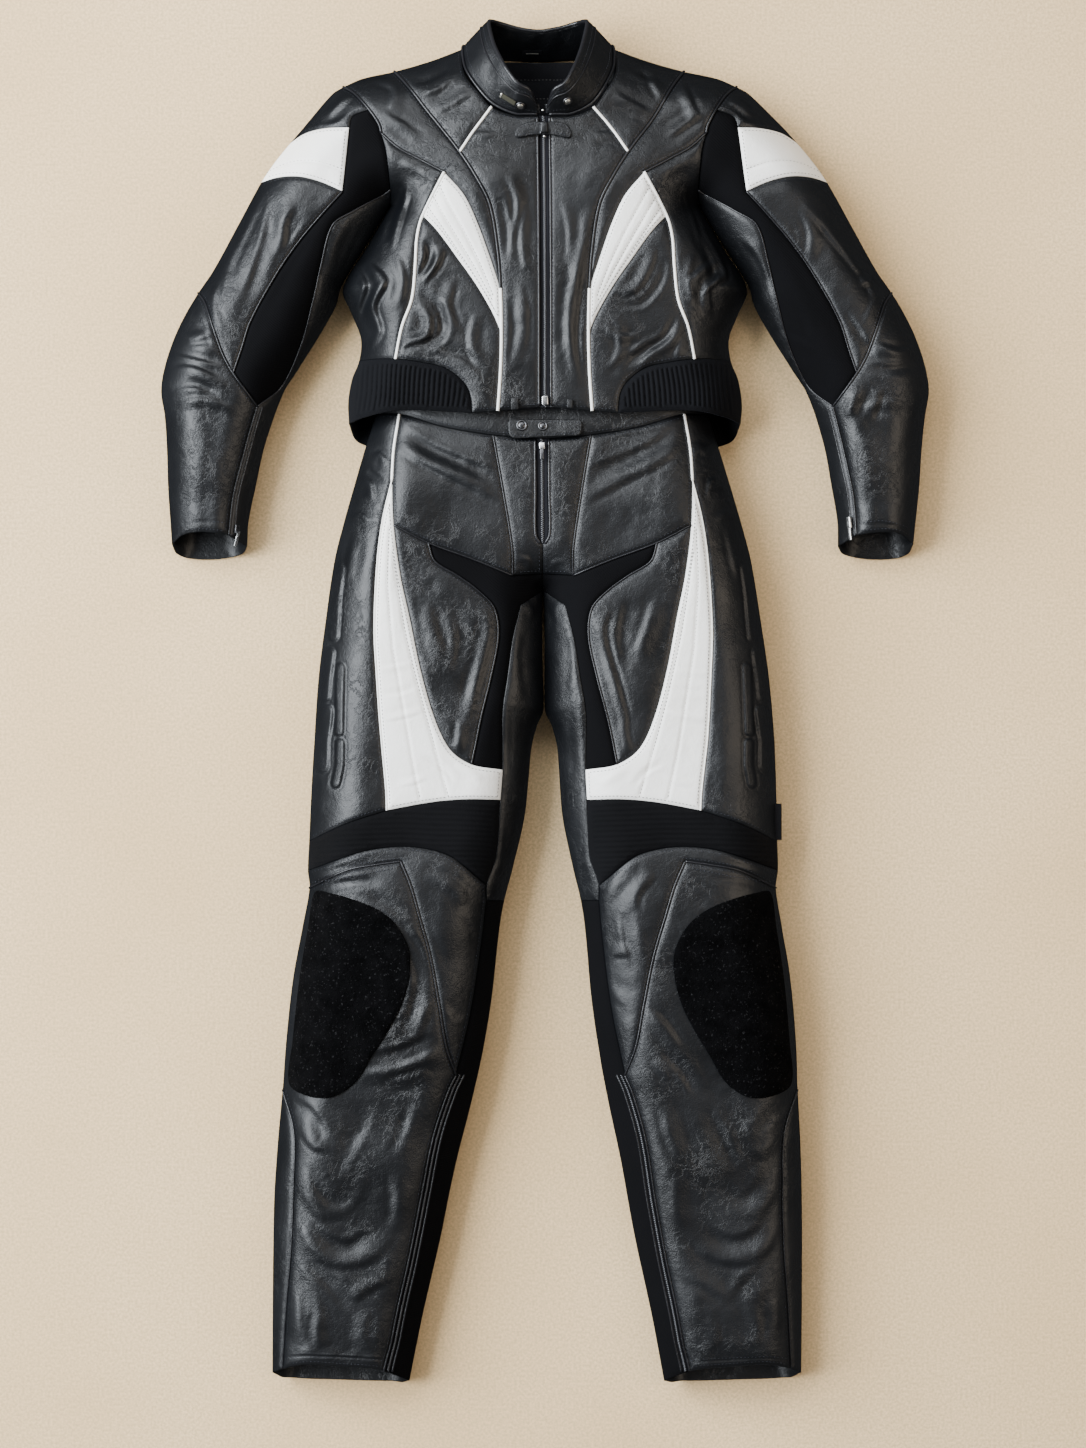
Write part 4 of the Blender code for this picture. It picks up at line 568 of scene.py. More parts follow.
class Plan:
    """Where the jacket's or the trousers' panels lie, and the form they lie on."""

    def __init__(self, name, joins, seams, line, spots, edges, folds, seed):
        self.name, self.line = name, line
        self.seams = {key: curve_points(seam, joins) for key, seam in seams.items()}
        rows = np.array(spots, float)
        self.spots = np.vstack([self.place(rows[:, :2], side) for side in (-1, 1)])
        self.values = np.vstack([rows[:, 2:]] * 2)
        starts, ends = [], []
        for key in edges:
            for side in (-1, 1):
                run = self.place(self.seams[key][0], side)
                run = np.vstack([run[:-1:EDGE_STRIDE], run[-1:]])
                starts.append(run[:-1])
                ends.append(run[1:])
        self.starts, self.ends = np.vstack(starts), np.vstack(ends)
        self.folds = self.lay_folds(folds, np.random.default_rng(seed))

    def lay_folds(self, folds, rng):
        """The creases of both sides. Those for both are a little different on the second side."""
        laid = []
        for sides, depth, width, points in folds:
            run = curve_points(points, {}, FOLD_STEP)[0]
            for side in (-1, 1):
                if sides not in (0, side):
                    continue
                shift, share = rng.uniform(-FOLD_DRIFT, FOLD_DRIFT, 2), 1.0
                if sides == 0 and side == 1:
                    share = rng.uniform(*FOLD_SHARES)
                else:
                    shift = shift * 0
                lean = 1 if rng.random() < 0.5 else -1
                laid.append((depth * share * FOLD_DEPTH, width * FOLD_WIDTH, lean,
                             self.place(run + shift, side)))
        return laid

    def place(self, uv, side):
        """Plan position (x, y) of points (u, v) on one side: -1 is the wearer's right."""
        uv = np.atleast_2d(np.asarray(uv, float))
        x = line_x(self.line, uv[:, 1]) + side * uv[:, 0]
        return np.column_stack([x, uv[:, 1]]) - ORIGIN

    def edge_distance(self, xy):
        return segment_distance(self.starts, self.ends, xy)

    def loft(self, xy):
        """Reach and height of the form here, blended from the spots."""
        gap = np.sqrt(((xy[:, None, :] - self.spots[None])**2).sum(2)) + SPOT_BLUR
        weight = gap**-SPOT_POWER
        return (weight @ self.values / weight.sum(1)[:, None]).T

    def height(self, xy, facing):
        xy = np.atleast_2d(xy)
        distance = self.edge_distance(xy)
        reach, height = self.loft(xy)
        edge = EDGE_SHARE * height
        if facing == "up":
            return edge + (height - edge) * (1 - (1 - np.clip(distance / reach, 0, 1))**ROUNDING)
        low = edge * (1 - np.clip(distance / BACK_REACH, 0, 1))**ROUNDING
        if self.name == "trousers":
            low = low + WAIST_LIFT * smooth_step(
                (xy[:, 1] - WAIST_LIFT_FROM) / (WAIST_LIFT_TO - WAIST_LIFT_FROM)) * (1 - low / edge)
        return low

    def normal(self, xy, facing):
        slope = np.column_stack([
            (self.height(xy + offset, facing) - self.height(xy - offset, facing)) / (2 * NORMAL_STEP)
            for offset in ((NORMAL_STEP, 0), (0, NORMAL_STEP))])
        sign = 1.0 if facing == "up" else -1.0
        out = np.column_stack([-sign * slope, np.full(len(xy), sign)])
        return out / np.linalg.norm(out, axis=1)[:, None]

    def creased(self, xy):
        """Height that the creases add."""
        out = np.zeros(len(xy))
        for depth, width, lean, run in self.folds:
            room = FOLD_ROOM * width
            at = np.flatnonzero(((xy > run.min(0) - room) & (xy < run.max(0) + room)).all(1))
            if len(at):
                away, share = along_run(run, xy[at])
                reach = np.where(away * lean > 0, width, FOLD_STEEP_SIDE * width)
                away = np.abs(away) / reach
                taper = 1 - np.abs(2 * share - 1)**FOLD_TAPER
                hollow = HOLLOW_DEPTH * np.exp(-((away - HOLLOW_AT) / HOLLOW_WIDTH)**2)
                out[at] += depth * taper * (np.exp(-away**2) - hollow)
        return out

    def surface(self, xy, facing, style, seam_distance):
        """Height of a panel's face: the form, its creases, and the roll at its seams."""
        z = self.height(xy, facing)
        inner = smooth_step(self.edge_distance(xy) / EDGE_FADE)
        roll = PUFF * (1 - np.exp(-(seam_distance / PUFF_REACH)**2)) - SEAM_DIP * np.exp(
            -(seam_distance / SEAM_DIP_REACH)**2)
        if facing == "back":
            lift = BACK_WAVE * (1 + np.clip(ripple(SOFT_WAVES, xy), -1, 1)) - BACK_ROLL * roll
            return z + np.maximum(lift, 0) * inner
        relief = style["creases"] * (self.creased(xy) + SOFT_HEIGHT * ripple(SOFT_WAVES, xy))
        patchy = smooth_step(0.5 + PATCH_SWING * ripple(PATCH_WAVES, xy))
        patchy = PATCH_LEAST + (1 - PATCH_LEAST) * patchy
        relief = relief + style["wrinkles"] * patchy * (
            MID_HEIGHT * ripple(MID_WAVES, xy) - FINE_HEIGHT * np.abs(ripple(FINE_WAVES, xy)))
        calm = CALM_LEAST + (1 - CALM_LEAST) * (1 - np.exp(-(seam_distance / CALM_REACH)**2))
        z = z + (relief * calm + roll + style["lift_by"]) * inner
        if style["pattern"]:
            clear = 1 - np.exp(-(seam_distance / PATTERN_REACH)**2)
            z = z + style["pattern"](self, xy) * clear * inner
        return z

    def from_centre(self, xy):
        """Points (u, v) of plan positions, with u outward on either side."""
        return np.column_stack([np.abs(xy[:, 0] + ORIGIN[0] - line_x(self.line, xy[:, 1])), xy[:, 1]])


def segment_distance(starts, ends, xy):
    """Distance in plan from each point to the nearest of the segments."""
    along = (ends - starts).astype(np.float32)
    begin = starts.astype(np.float32)
    length = np.maximum((along**2).sum(1), 1e-9)
    xy = np.asarray(xy, np.float32)
    out = np.empty(len(xy))
    for at in range(0, len(xy), CHUNK):
        x = xy[at:at + CHUNK, :1] - begin[None, :, 0]
        y = xy[at:at + CHUNK, 1:] - begin[None, :, 1]
        share = np.clip((x * along[:, 0] + y * along[:, 1]) / length, 0, 1)
        out[at:at + CHUNK] = np.sqrt(((x - share * along[:, 0])**2 + (y - share * along[:, 1])**2).min(1))
    return out


def along_run(run, xy):
    """Signed distance to a run of points, and the share of it passed at the nearest place."""
    along = run[1:] - run[:-1]
    offset = xy[:, None, :] - run[None, :-1]
    share = np.clip((offset * along[None]).sum(2) / (along**2).sum(1), 0, 1)
    away = ((offset - share[..., None] * along[None])**2).sum(2)
    best = away.argmin(1)
    rows = np.arange(len(xy))
    turn = along[best, 0] * offset[rows, best, 1] - along[best, 1] * offset[rows, best, 0]
    return np.sqrt(away[rows, best]) * np.sign(turn), (best + share[rows, best]) / len(along)


def make_waves(seed, shortest, longest):
    """Level waves of random heading, length and phase, which together make smooth uneven ground."""
    rng = np.random.default_rng(seed)
    heading = rng.uniform(0, math.pi, WAVE_COUNT)
    number = 2 * math.pi / rng.uniform(shortest, longest, WAVE_COUNT)
    numbers = np.column_stack([np.cos(heading) * number, np.sin(heading) * number])
    return numbers, rng.uniform(0, 7, WAVE_COUNT)


def ripple(waves, xy):
    """Height of the waves at plan positions, mostly between -1 and 1."""
    numbers, phases = waves
    return np.sin(xy @ numbers.T + phases).sum(1) * math.sqrt(0.5 / len(phases))


def knit_ribs(plan, xy):
    """Ribs of the waist knit, which run a little outwards as they go down."""
    u, v = plan.from_centre(xy).T
    phase = (u + RIB_LEAN * (v - RIB_LEAN_FROM) + RIB_WANDER * ripple(SOFT_WAVES, xy)) / RIB_PITCH
    plain = smooth_step((RIB_PLAIN_FROM - u) / 6.0)
    return RIB_HEIGHT * (np.abs(np.sin(math.pi * phase))**0.8 - 0.6) * plain


def accordion(plan, xy):
    """Pleats above the knee: level in the middle, closing up towards the outer side."""
    u, v = plan.from_centre(xy).T
    v = v + PLEAT_BEND * (u - PLEAT_MIDDLE)**2 - PLEAT_LEAN * u + PLEAT_WANDER * ripple(SOFT_WAVES, xy)
    return PLEAT_HEIGHT * (np.abs(np.sin(math.pi * v / PLEAT_PITCH))**0.7 - 0.6)


def armour_bars(plan, xy):
    """Raised bars pressed into the side leather over the soft armour."""
    out = np.zeros(len(xy))
    for width, height, points in ARMOUR_BARS:
        away = np.abs(along_run(np.array(points, float), plan.from_centre(xy))[0]) - width / 2
        out += height * (1 - smooth_step((away + BAR_SLOPE / 2) / BAR_SLOPE))
        out -= BAR_GROOVE * np.exp(-((away - BAR_GROOVE_OUT) / BAR_GROOVE_REACH)**2)
    return out


def quilting(plan, xy):
    """Grooves along the lines that are sewn through a panel and its padding."""
    out = np.zeros(len(xy))
    for key, _, _, points in SEWN:
        if key == plan.name:
            away = along_run(np.array(points, float), plan.from_centre(xy))[0]
            out -= QUILT_DEPTH * np.exp(-(away / QUILT_REACH)**2)
    return out


def read_loop(plan, text, side):
    """A patch's outline on the plan: its points, the gap for the side that each starts, whether
    that side is a side edge, and the last point."""
    points, gaps, edges = [], [], []
    for item in text.split(","):
        key, start, end = item.split()
        wrap = key.startswith("=")
        key = key.lstrip("=")
        run, places = plan.seams[key]
        a, b = places[start], places[end]
        step = 1 if a < b else -1
        placed = plan.place(run, side)[list(range(a, b + step, step))]
        gap = 0.0 if wrap else EDGE_HALF_GAP if key in SIDE_EDGES else SEAM_HALF_GAP
        points.extend(placed[:-1])
        gaps.extend([gap] * (len(placed) - 1))
        edges.extend([key in SIDE_EDGES] * (len(placed) - 1))
        last = placed[-1]
    return np.array(points), np.array(gaps), np.array(edges), last


def inward_normals(points):
    """Level unit normals at the outline's points, pointing into it."""
    following = np.roll(points, -1, 0)
    area = (points[:, 0] * following[:, 1] - following[:, 0] * points[:, 1]).sum()
    along = following - points
    along /= np.maximum(np.linalg.norm(along, axis=1), 1e-9)[:, None]
    inward = np.column_stack([-along[:, 1], along[:, 0]]) * np.sign(area)
    both = inward + np.roll(inward, 1, 0)
    length = np.maximum(np.linalg.norm(both, axis=1), 0.6)
    return both / length[:, None] * (2 / length)[:, None].clip(1.0, 1.6)


def inside(polygon, xy):
    """Which of the points lie inside the polygon."""
    found = np.zeros(len(xy), bool)
    x1, y1 = polygon[:, 0], polygon[:, 1]
    x2, y2 = np.roll(x1, -1), np.roll(y1, -1)
    for at in range(0, len(xy), CHUNK):
        x, y = xy[at:at + CHUNK, :1], xy[at:at + CHUNK, 1:]
        crosses = (y1 > y) != (y2 > y)
        with np.errstate(divide="ignore", invalid="ignore"):
            cut = x1 + (y - y1) * (x2 - x1) / (y2 - y1)
        found[at:at + CHUNK] = (crosses & (x < cut)).sum(1) % 2 == 1
    return found


def border_distance(outline, xy):
    """Distance in plan from each point to the outline."""
    return segment_distance(outline, np.roll(outline, -1, 0), xy)


def fine_points(outline, across, up):
    """Rows just inside the outline, and an even grid over the rest of it."""
    inward = inward_normals(outline)
    rows = []
    for offset in RIM_ROWS:
        row = outline + inward * offset
        row = row[border_distance(outline, row) > 0.8 * offset]
        rows.append(row[inside(outline, row)] if len(row) else row)
    low, high = outline.min(0), outline.max(0)
    x = np.arange(low[0], high[0], across)
    y = np.arange(low[1], high[1], up)
    grid = np.array([(a + across / 2 * (k % 2), b) for k, b in enumerate(y) for a in x])
    grid = grid[inside(outline, grid)]
    if len(grid):
        grid = grid[border_distance(outline, grid) > RIM_ROWS[-1] + GRID_CLEAR * min(across, up)]
    return np.vstack([*rows, grid])


def fill(outline, extra):
    """Triangles over an outline on the plan, counter-clockwise seen from above."""
    order = list(range(len(outline)))
    x, y = outline[:, 0], outline[:, 1]
    if (x * np.roll(y, -1) - np.roll(x, -1) * y).sum() < 0:
        order.reverse()
    vertices = [Vector(p) for p in np.vstack([outline, extra]).tolist()]
    points, _, faces, _, _, _ = delaunay_2d_cdt(vertices, [], [order], 1, 1e-5)
    points = np.array([tuple(p) for p in points])
    faces = np.array([face for face in faces if len(face) == 3])
    a, b, c = (points[faces[:, i]] for i in range(3))
    turned = (b - a)[:, 0] * (c - a)[:, 1] - (b - a)[:, 1] * (c - a)[:, 0] < 0
    faces[turned] = faces[turned][:, ::-1]
    return points, faces


def weld(patches):
    """One surface from patches that share a side edge."""
    points = np.vstack([patch[0] for patch in patches])
    normals = np.vstack([patch[1] for patch in patches])
    shift = np.cumsum([0] + [len(patch[0]) for patch in patches])
    faces = np.vstack([patch[2] + at for patch, at in zip(patches, shift)])
    if len(patches) > 1:
        rims = np.unique(open_edges(faces))
        target = np.arange(len(points))
        for at, a in enumerate(rims):
            others = rims[at + 1:]
            near = others[np.abs(points[others] - points[a]).max(1) < WELD_REACH]
            far = near[(near >= shift[1:-1].max() if len(patches) > 2 else near >= shift[1])]
            target[far[target[far] == far]] = target[a]
        faces = target[faces]
        faces = faces[(faces != np.roll(faces, 1, 1)).all(1)]
        used, index = np.unique(faces, return_inverse=True)
        points, normals, faces = points[used], normals[used], index.reshape(-1, 3)
    return points, normals, faces


def open_edges(faces):
    """Edges with a face on one side only, in that face's order."""
    edges = np.concatenate([faces[:, [0, 1]], faces[:, [1, 2]], faces[:, [2, 0]]])
    _, index, counts = np.unique(np.sort(edges, 1), axis=0, return_index=True, return_counts=True)
    return edges[index[counts == 1]]


def drawn_up(points):
    """The points with the upper layer of each leg's hem drawn up, so that its opening shows."""
    points = np.array(points, float)
    at = np.flatnonzero((points[:, 1] < HEM_TOP) & (points[:, 2] > 0))
    if len(at):
        height = TROUSERS.loft(points[at, :2])[1]
        rise = np.clip((points[at, 2] / height - EDGE_SHARE) / (1 - EDGE_SHARE), 0, 1)
        points[at, 1] += HEM_DRAW * rise * smooth_step((HEM_TOP - points[at, 1]) / HEM_SPAN)
    return points


def linked(name, mesh, material):
    """An object in the scene that shows the mesh in this material."""
    mesh.materials.append(material)
    obj = bpy.data.objects.new(name, mesh)
    bpy.context.scene.collection.objects.link(obj)
    return obj


def new_piece(name, points, faces, material, smooth=True):
    """A mesh object from points in millimetres. Faces may be one array or a list of arrays."""
    mesh = bpy.data.meshes.new(name)
    lists = faces if isinstance(faces, list) else [faces]
    mesh.from_pydata((drawn_up(points) * MM).tolist(), [], [face for part in lists for face in part.tolist()])
    if smooth:
        mesh.shade_smooth()
    return linked(name, mesh, material)


def shell(name, outer, normals, faces, thickness, material):
    """A thin closed wall: the face, its copy moved inwards, and the rim between them."""
    count = len(outer)
    rim = open_edges(faces)
    sides = np.column_stack([rim[:, 1], rim[:, 0], rim[:, 0] + count, rim[:, 1] + count])
    points = np.vstack([outer, outer - normals * thickness])
    return new_piece(name, points, [faces, faces[:, ::-1] + count, sides], material)


def face_area(points, faces):
    a, b, c = (points[faces[:, i]] for i in range(3))
    return np.linalg.norm(np.cross(b - a, c - a), axis=1).sum() / 2


def cut_size(flat):
    """Width and length of the smallest rectangle, at any angle, that these plan points fit."""
    sizes = []
    for angle in np.radians(np.arange(0, 90, CUT_TURN)):
        cos, sin = math.cos(angle), math.sin(angle)
        spun = flat @ np.array([[cos, -sin], [sin, cos]])
        sizes.append(np.sort(spun.max(0) - spun.min(0)))
    return min(sizes, key=np.prod)


def declare(obj, node, outer, faces, sizes):
    """Puts the piece on the suit's body and hides the solid of its node, whose place it takes.
    The width and length of its cut are worked out, widths of patches that wrap round a side
    edge adding up, but nothing uses them."""
    area = face_area(outer, faces) * MM * MM
    width = sum(across for across, _ in sizes) * MM
    length = max(along for _, along in sizes) * MM
    width = min(width, area / (LEAST_FILL * length))
    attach(obj, BODY)
    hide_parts(node)


def make_patch(plan, text, side, facing, style):
    """One patch of a panel: its points, normals and triangles, its size, and its outline."""
    if side:
        points, gaps, edges, _ = read_loop(plan, text, side)
    else:
        half, gaps, edges, last = read_loop(plan, text, -1)
        other, _, _, other_last = read_loop(plan, text, 1)
        across = dense_line(last, other_last)
        points = np.vstack([half, across, other[1:][::-1]])
        gaps, edges = (np.concatenate([flags, np.repeat(flags[-1:], len(across) - 1), flags[::-1]])
                       for flags in (gaps, edges))
    outline = points + inward_normals(points) * ((gaps + np.roll(gaps, 1)) / 2)[:, None]
    across, up = style["grid"] if facing == "up" else BACK_GRID
    flat, faces = fill(outline, fine_points(outline, across, up))
    seams = ~edges
    following = np.roll(outline, -1, 0)
    if seams.any():
        seam_distance = segment_distance(outline[seams], following[seams], flat)
    else:
        seam_distance = np.full(len(flat), NO_SEAM)
    z = plan.surface(flat, facing, style, seam_distance)
    normals = plan.normal(flat, facing)
    on_edge = np.flatnonzero(edges | np.roll(edges, 1))
    outward = -inward_normals(outline)[on_edge]
    outward /= np.linalg.norm(outward, axis=1)[:, None]
    normals[on_edge] = np.column_stack([outward, np.zeros(len(on_edge))])
    z[on_edge] = EDGE_SHARE * plan.loft(flat[on_edge])[1]
    if facing == "back":
        faces = faces[:, ::-1]
    return np.column_stack([flat, z]), normals, faces, cut_size(outline), outline, edges


def dense_line(start, end):
    """Points from start to end, both included, unless they are the same point."""
    length = np.linalg.norm(end - start)
    if length < 1.0:
        return np.array([start])
    count = max(2, int(length / SEAM_STEP) + 1)
    return start + (end - start) * np.linspace(0, 1, count)[:, None]


def stitches(centres, along, normals, length, width):
    """Points and triangles of one slim bead for each stitch: four corners round it, a top and a
    foot."""
    across = np.cross(normals, along)
    corners = [along * length / 2, across * width / 2, -along * length / 2, -across * width / 2,
               normals * width * BEAD_TOP, -normals * width * BEAD_FOOT]
    points = np.stack([centres + corner for corner in corners], 1).reshape(-1, 3)
    top = [(k, (k + 1) % 4, 4) for k in range(4)]
    foot = [((k + 1) % 4, k, 5) for k in range(4)]
    bead = np.array(top + foot)
    faces = (bead[None] + 6 * np.arange(len(centres))[:, None, None]).reshape(-1, 3)
    return points, faces


class Gather:
    """Many small solids collected into one mesh."""

    def __init__(self):
        self.points, self.faces, self.count = [], [], 0

    def add(self, points, faces):
        if len(points):
            self.points.append(points)
            self.faces.append(faces + self.count)
            self.count += len(points)

    def make(self, name, material, slot):
        """The mesh of all that was added. An empty gather makes nothing."""
        if self.count:
            obj = new_piece(name, np.vstack(self.points), self.faces, MATERIALS[material])
            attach(obj, BODY)


def even_steps(run, step, whole=False):
    """Points at even steps along a run of points, and the headings there. A whole run keeps
    its first and last points."""
    lengths = np.linalg.norm(np.diff(run, axis=0), axis=1)
    total = np.concatenate([[0], np.cumsum(lengths)])
    if total[-1] < step:
        return np.empty((0, run.shape[1])), np.empty((0, run.shape[1]))
    if whole:
        at = np.linspace(0, total[-1], int(total[-1] / step) + 2)
    else:
        at = np.arange(step / 2, total[-1], step)
    points, ahead, behind = (np.column_stack([np.interp(at + shift, total, column) for column in run.T])
                             for shift in (0.0, 0.5, -0.5))
    heading = ahead - behind
    return points, heading / np.maximum(np.linalg.norm(heading, axis=1), 1e-9)[:, None]


def sew(gather, plan, run, style, seam_distance, stitch=(STITCH_LENGTH, STITCH_GAP, STITCH_WIDTH)):
    """A row of stitches along a run on the plan, each one tilted with the leather under it."""
    length, gap, width = stitch
    spots, heading = even_steps(run, length + gap)
    if not len(spots):
        return
    far = np.full(len(spots), seam_distance)
    z = plan.surface(spots, "up", style, far)
    ahead = plan.surface(spots + heading * SLOPE_STEP, "up", style, far)
    along = np.column_stack([heading, (ahead - z) / SLOPE_STEP])
    along /= np.linalg.norm(along, axis=1)[:, None]
    normals = plan.normal(spots, "up")
    normals -= along * (normals * along).sum(1)[:, None]
    normals /= np.linalg.norm(normals, axis=1)[:, None]
    gather.add(*stitches(np.column_stack([spots, z]) + normals * STITCH_RISE, along, normals, length, width))


def sew_level(gather, spots, heading, z, normals):
    """Level stitches at places on the plan."""
    along = np.column_stack([heading, np.zeros(len(spots))])
    gather.add(*stitches(np.column_stack([spots, z]), along, normals, STITCH_LENGTH, STITCH_WIDTH))


def zigzag(spots, heading, swing):
    """The spots swung to and fro across their heading, as a zip's coil runs."""
    across = np.column_stack([heading[:, 1], -heading[:, 0]])
    return spots + across * (swing * COIL_WAVE[np.arange(len(spots)) % 4])[:, None]


def tube(run, radius, sides=8):
    """A closed tube along points in space."""
    ahead = np.vstack([run[1:], 2 * run[-1:] - run[-2:-1]])
    behind = np.vstack([2 * run[:1] - run[1:2], run[:-1]])
    along = ahead - behind
    along /= np.maximum(np.linalg.norm(along, axis=1), 1e-9)[:, None]
    up = np.array([0, 0, 1.0]) - along * along[:, 2:]
    up /= np.maximum(np.linalg.norm(up, axis=1), 1e-6)[:, None]
    across = np.cross(along, up)
    angle = 2 * math.pi * np.arange(sides) / sides
    ring = across[:, None] * np.cos(angle)[None, :, None] + up[:, None] * np.sin(angle)[None, :, None]
    points = (run[:, None] + ring * radius).reshape(-1, 3)
    count = len(run)
    k, j = np.meshgrid(np.arange(count - 1), np.arange(sides), indexing="ij")
    a, b = (k * sides + j).ravel(), (k * sides + (j + 1) % sides).ravel()
    body = np.concatenate([np.column_stack([a, b + sides, b]), np.column_stack([a, a + sides, b + sides])])
    middles = len(points)
    points = np.vstack([points, run[:1], run[-1:]])
    ring_at = np.arange(sides)
    last = (count - 1) * sides
    caps = np.concatenate([
        np.column_stack([ring_at, (ring_at + 1) % sides, np.full(sides, middles)]),
        np.column_stack([last + (ring_at + 1) % sides, last + ring_at, np.full(sides, middles + 1)])])
    return points, np.concatenate([body, caps])


# ---------------------------------------------------------------- materials

class Shader:
    """A material under construction: nodes are added by kind, and linked by name."""

    def __init__(self, name):
        self.material = bpy.data.materials.new(name)
        self.material.use_nodes = True
        self.tree = self.material.node_tree
        self.surface = self.tree.nodes["Principled BSDF"]
        self.place = self.tree.nodes.new("ShaderNodeTexCoord").outputs["Object"]

    def add(self, kind, sockets=None, **settings):
        node = self.tree.nodes.new("ShaderNode" + kind)
        for key, value in settings.items():
            setattr(node, key, value)
        for key, value in (sockets or {}).items():
            self.put(node.inputs[key], value)
        return node

    def put(self, socket, value):
        if isinstance(value, bpy.types.NodeSocket):
            self.tree.links.new(value, socket)
        else:
            socket.default_value = value

    def noise(self, scale, detail=3.0, roughness=0.5, distortion=0.0):
        return self.add("TexNoise", {"Vector": self.place, "Scale": scale, "Detail": detail,
                                     "Roughness": roughness, "Distortion": distortion}).outputs["Fac"]

    def ranged(self, value, low, high, to_low, to_high):
        return self.add("MapRange", {"Value": value, "From Min": low, "From Max": high,
                                     "To Min": to_low, "To Max": to_high}).outputs["Result"]

    def math(self, operation, a, b=0.0):
        return self.add("Math", {0: a, 1: b}, operation=operation).outputs[0]

    def facing(self, straight, grazing):
        """A value that falls from straight to grazing as the surface turns away from the eye."""
        turned = self.add("LayerWeight", {"Blend": 0.5}).outputs["Facing"]
        return self.ranged(turned, 0.30, 0.75, straight, grazing)

    def blend(self, share, first, second):
        node = self.add("Mix", data_type="RGBA")
        self.put(node.inputs["Factor"], share)
        for index, value in ((6, first), (7, second)):
            self.put(node.inputs[index], value if isinstance(value, bpy.types.NodeSocket) else (*value, 1.0))
        return node.outputs[2]

    def between(self, value, low, high, dark, light):
        """The dark colour where the value is low, and the light one where it is high."""
        return self.blend(self.ranged(value, low, high, 0.0, 1.0), dark, light)

    def bump(self, height, distance, strength, below=None):
        sockets = {"Height": height, "Distance": distance, "Strength": strength}
        if below is not None:
            sockets["Normal"] = below
        return self.add("Bump", sockets).outputs["Normal"]

    def set(self, **values):
        for key, value in values.items():
            self.put(self.surface.inputs[key.replace("_", " ")], value)


def leather(name, dark, light, rough_low, rough_high, wrinkle):
    """Cowhide: a fine grain, soft wear lines, and slow changes of tone and gloss."""
    shader = Shader(name)
    tone = shader.noise(9.0, 4.0, 0.6)
    streak = shader.noise(70.0, 5.0, 0.65, 0.6)
    lines = shader.math("ABSOLUTE", shader.math("SUBTRACT", streak, 0.5))
    crease = shader.ranged(lines, 0.0, 0.045, 0.0, 1.0)
    grain = shader.add("TexVoronoi", {"Vector": shader.place, "Scale": 620.0}).outputs["Distance"]
    pores = shader.noise(1500.0, 2.0)
    patch = shader.ranged(shader.noise(14.0, 2.0), 0.42, 0.62, 0.0, 1.0)
    shader.set(Base_Color=shader.between(tone, 0.35, 0.65, dark, light))
    gloss = shader.math("MULTIPLY", shader.math("SUBTRACT", pores, 0.5), 0.10)
    shader.set(Roughness=shader.math("ADD", shader.ranged(tone, 0.3, 0.7, rough_low, rough_high), gloss))
    shader.set(Specular_IOR_Level=shader.facing(0.37, 0.02))
    soft = shader.bump(shader.noise(38.0, 3.0, 0.55), 0.004, 0.10 * wrinkle)
    mottle = shader.bump(shader.noise(190.0, 3.0, 0.6, 0.4), 0.0012, 0.34 * wrinkle, soft)
    lined = shader.bump(shader.math("MULTIPLY", crease, patch), 0.0007, 0.40 * wrinkle, mottle)
    fine = shader.math("ADD", grain, shader.math("MULTIPLY", pores, 0.4))
    shader.set(Normal=shader.bump(fine, 0.00022, 0.5, lined))
    return shader.material


def woven(name, dark, light, pitch, depth, sheen):
    """Matt cloth with a fine rib in its weave."""
    shader = Shader(name)
    wave = shader.add("TexWave", {"Vector": shader.place, "Scale": 0.31 / pitch, "Distortion": 1.2,
                                  "Detail": 1.0, "Detail Scale": 3.0}, bands_direction="DIAGONAL")
    threads = shader.noise(900.0, 2.0)
    tone = shader.noise(12.0, 3.0)
    shader.set(Base_Color=shader.between(tone, 0.3, 0.7, dark, light))
    shader.set(Roughness=0.9, Specular_IOR_Level=0.09, Sheen_Weight=sheen, Sheen_Roughness=0.5)
    shader.surface.inputs["Sheen Tint"].default_value = (0.55, 0.6, 0.75, 1.0)
    rough = shader.bump(threads, 0.0003, 0.5)
    shader.set(Normal=shader.bump(wave.outputs["Fac"], depth, 0.6, rough))
    return shader.material


def pile(name):
    """Short brushed loops: black, with a few paler specks of fluff."""
    shader = Shader(name)
    speck = shader.ranged(shader.noise(330.0, 2.0, 0.75), 0.62, 0.72, 0.0, 1.0)
    tone = shader.noise(60.0, 4.0)
    base = shader.between(tone, 0.3, 0.7, (0.0006, 0.0006, 0.0007), (0.0022, 0.0022, 0.0025))
    shader.set(Base_Color=shader.blend(shader.math("MULTIPLY", speck, 0.5), base, (0.035, 0.035, 0.037)))
    shader.set(Roughness=1.0, Specular_IOR_Level=0.04)
    curls = shader.bump(shader.noise(300.0, 3.0, 0.7, 0.8), 0.0016, 1.0)
    shader.set(Normal=shader.bump(shader.noise(1100.0, 2.0), 0.0005, 0.8, curls))
    return shader.material


def hard(name, colour, roughness, metallic=1.0):
    """Plated metal or hard plastic, a little worn in places."""
    shader = Shader(name)
    worn = shader.noise(260.0, 3.0)
    shader.set(Base_Color=shader.between(worn, 0.3, 0.7, [value * 0.8 for value in colour], colour))
    shader.set(Metallic=metallic, Roughness=shader.ranged(worn, 0.3, 0.7, roughness * 0.8, roughness * 1.3))
    shader.set(Normal=shader.bump(shader.noise(700.0, 2.0), 0.0001, 0.3))
    return shader.material


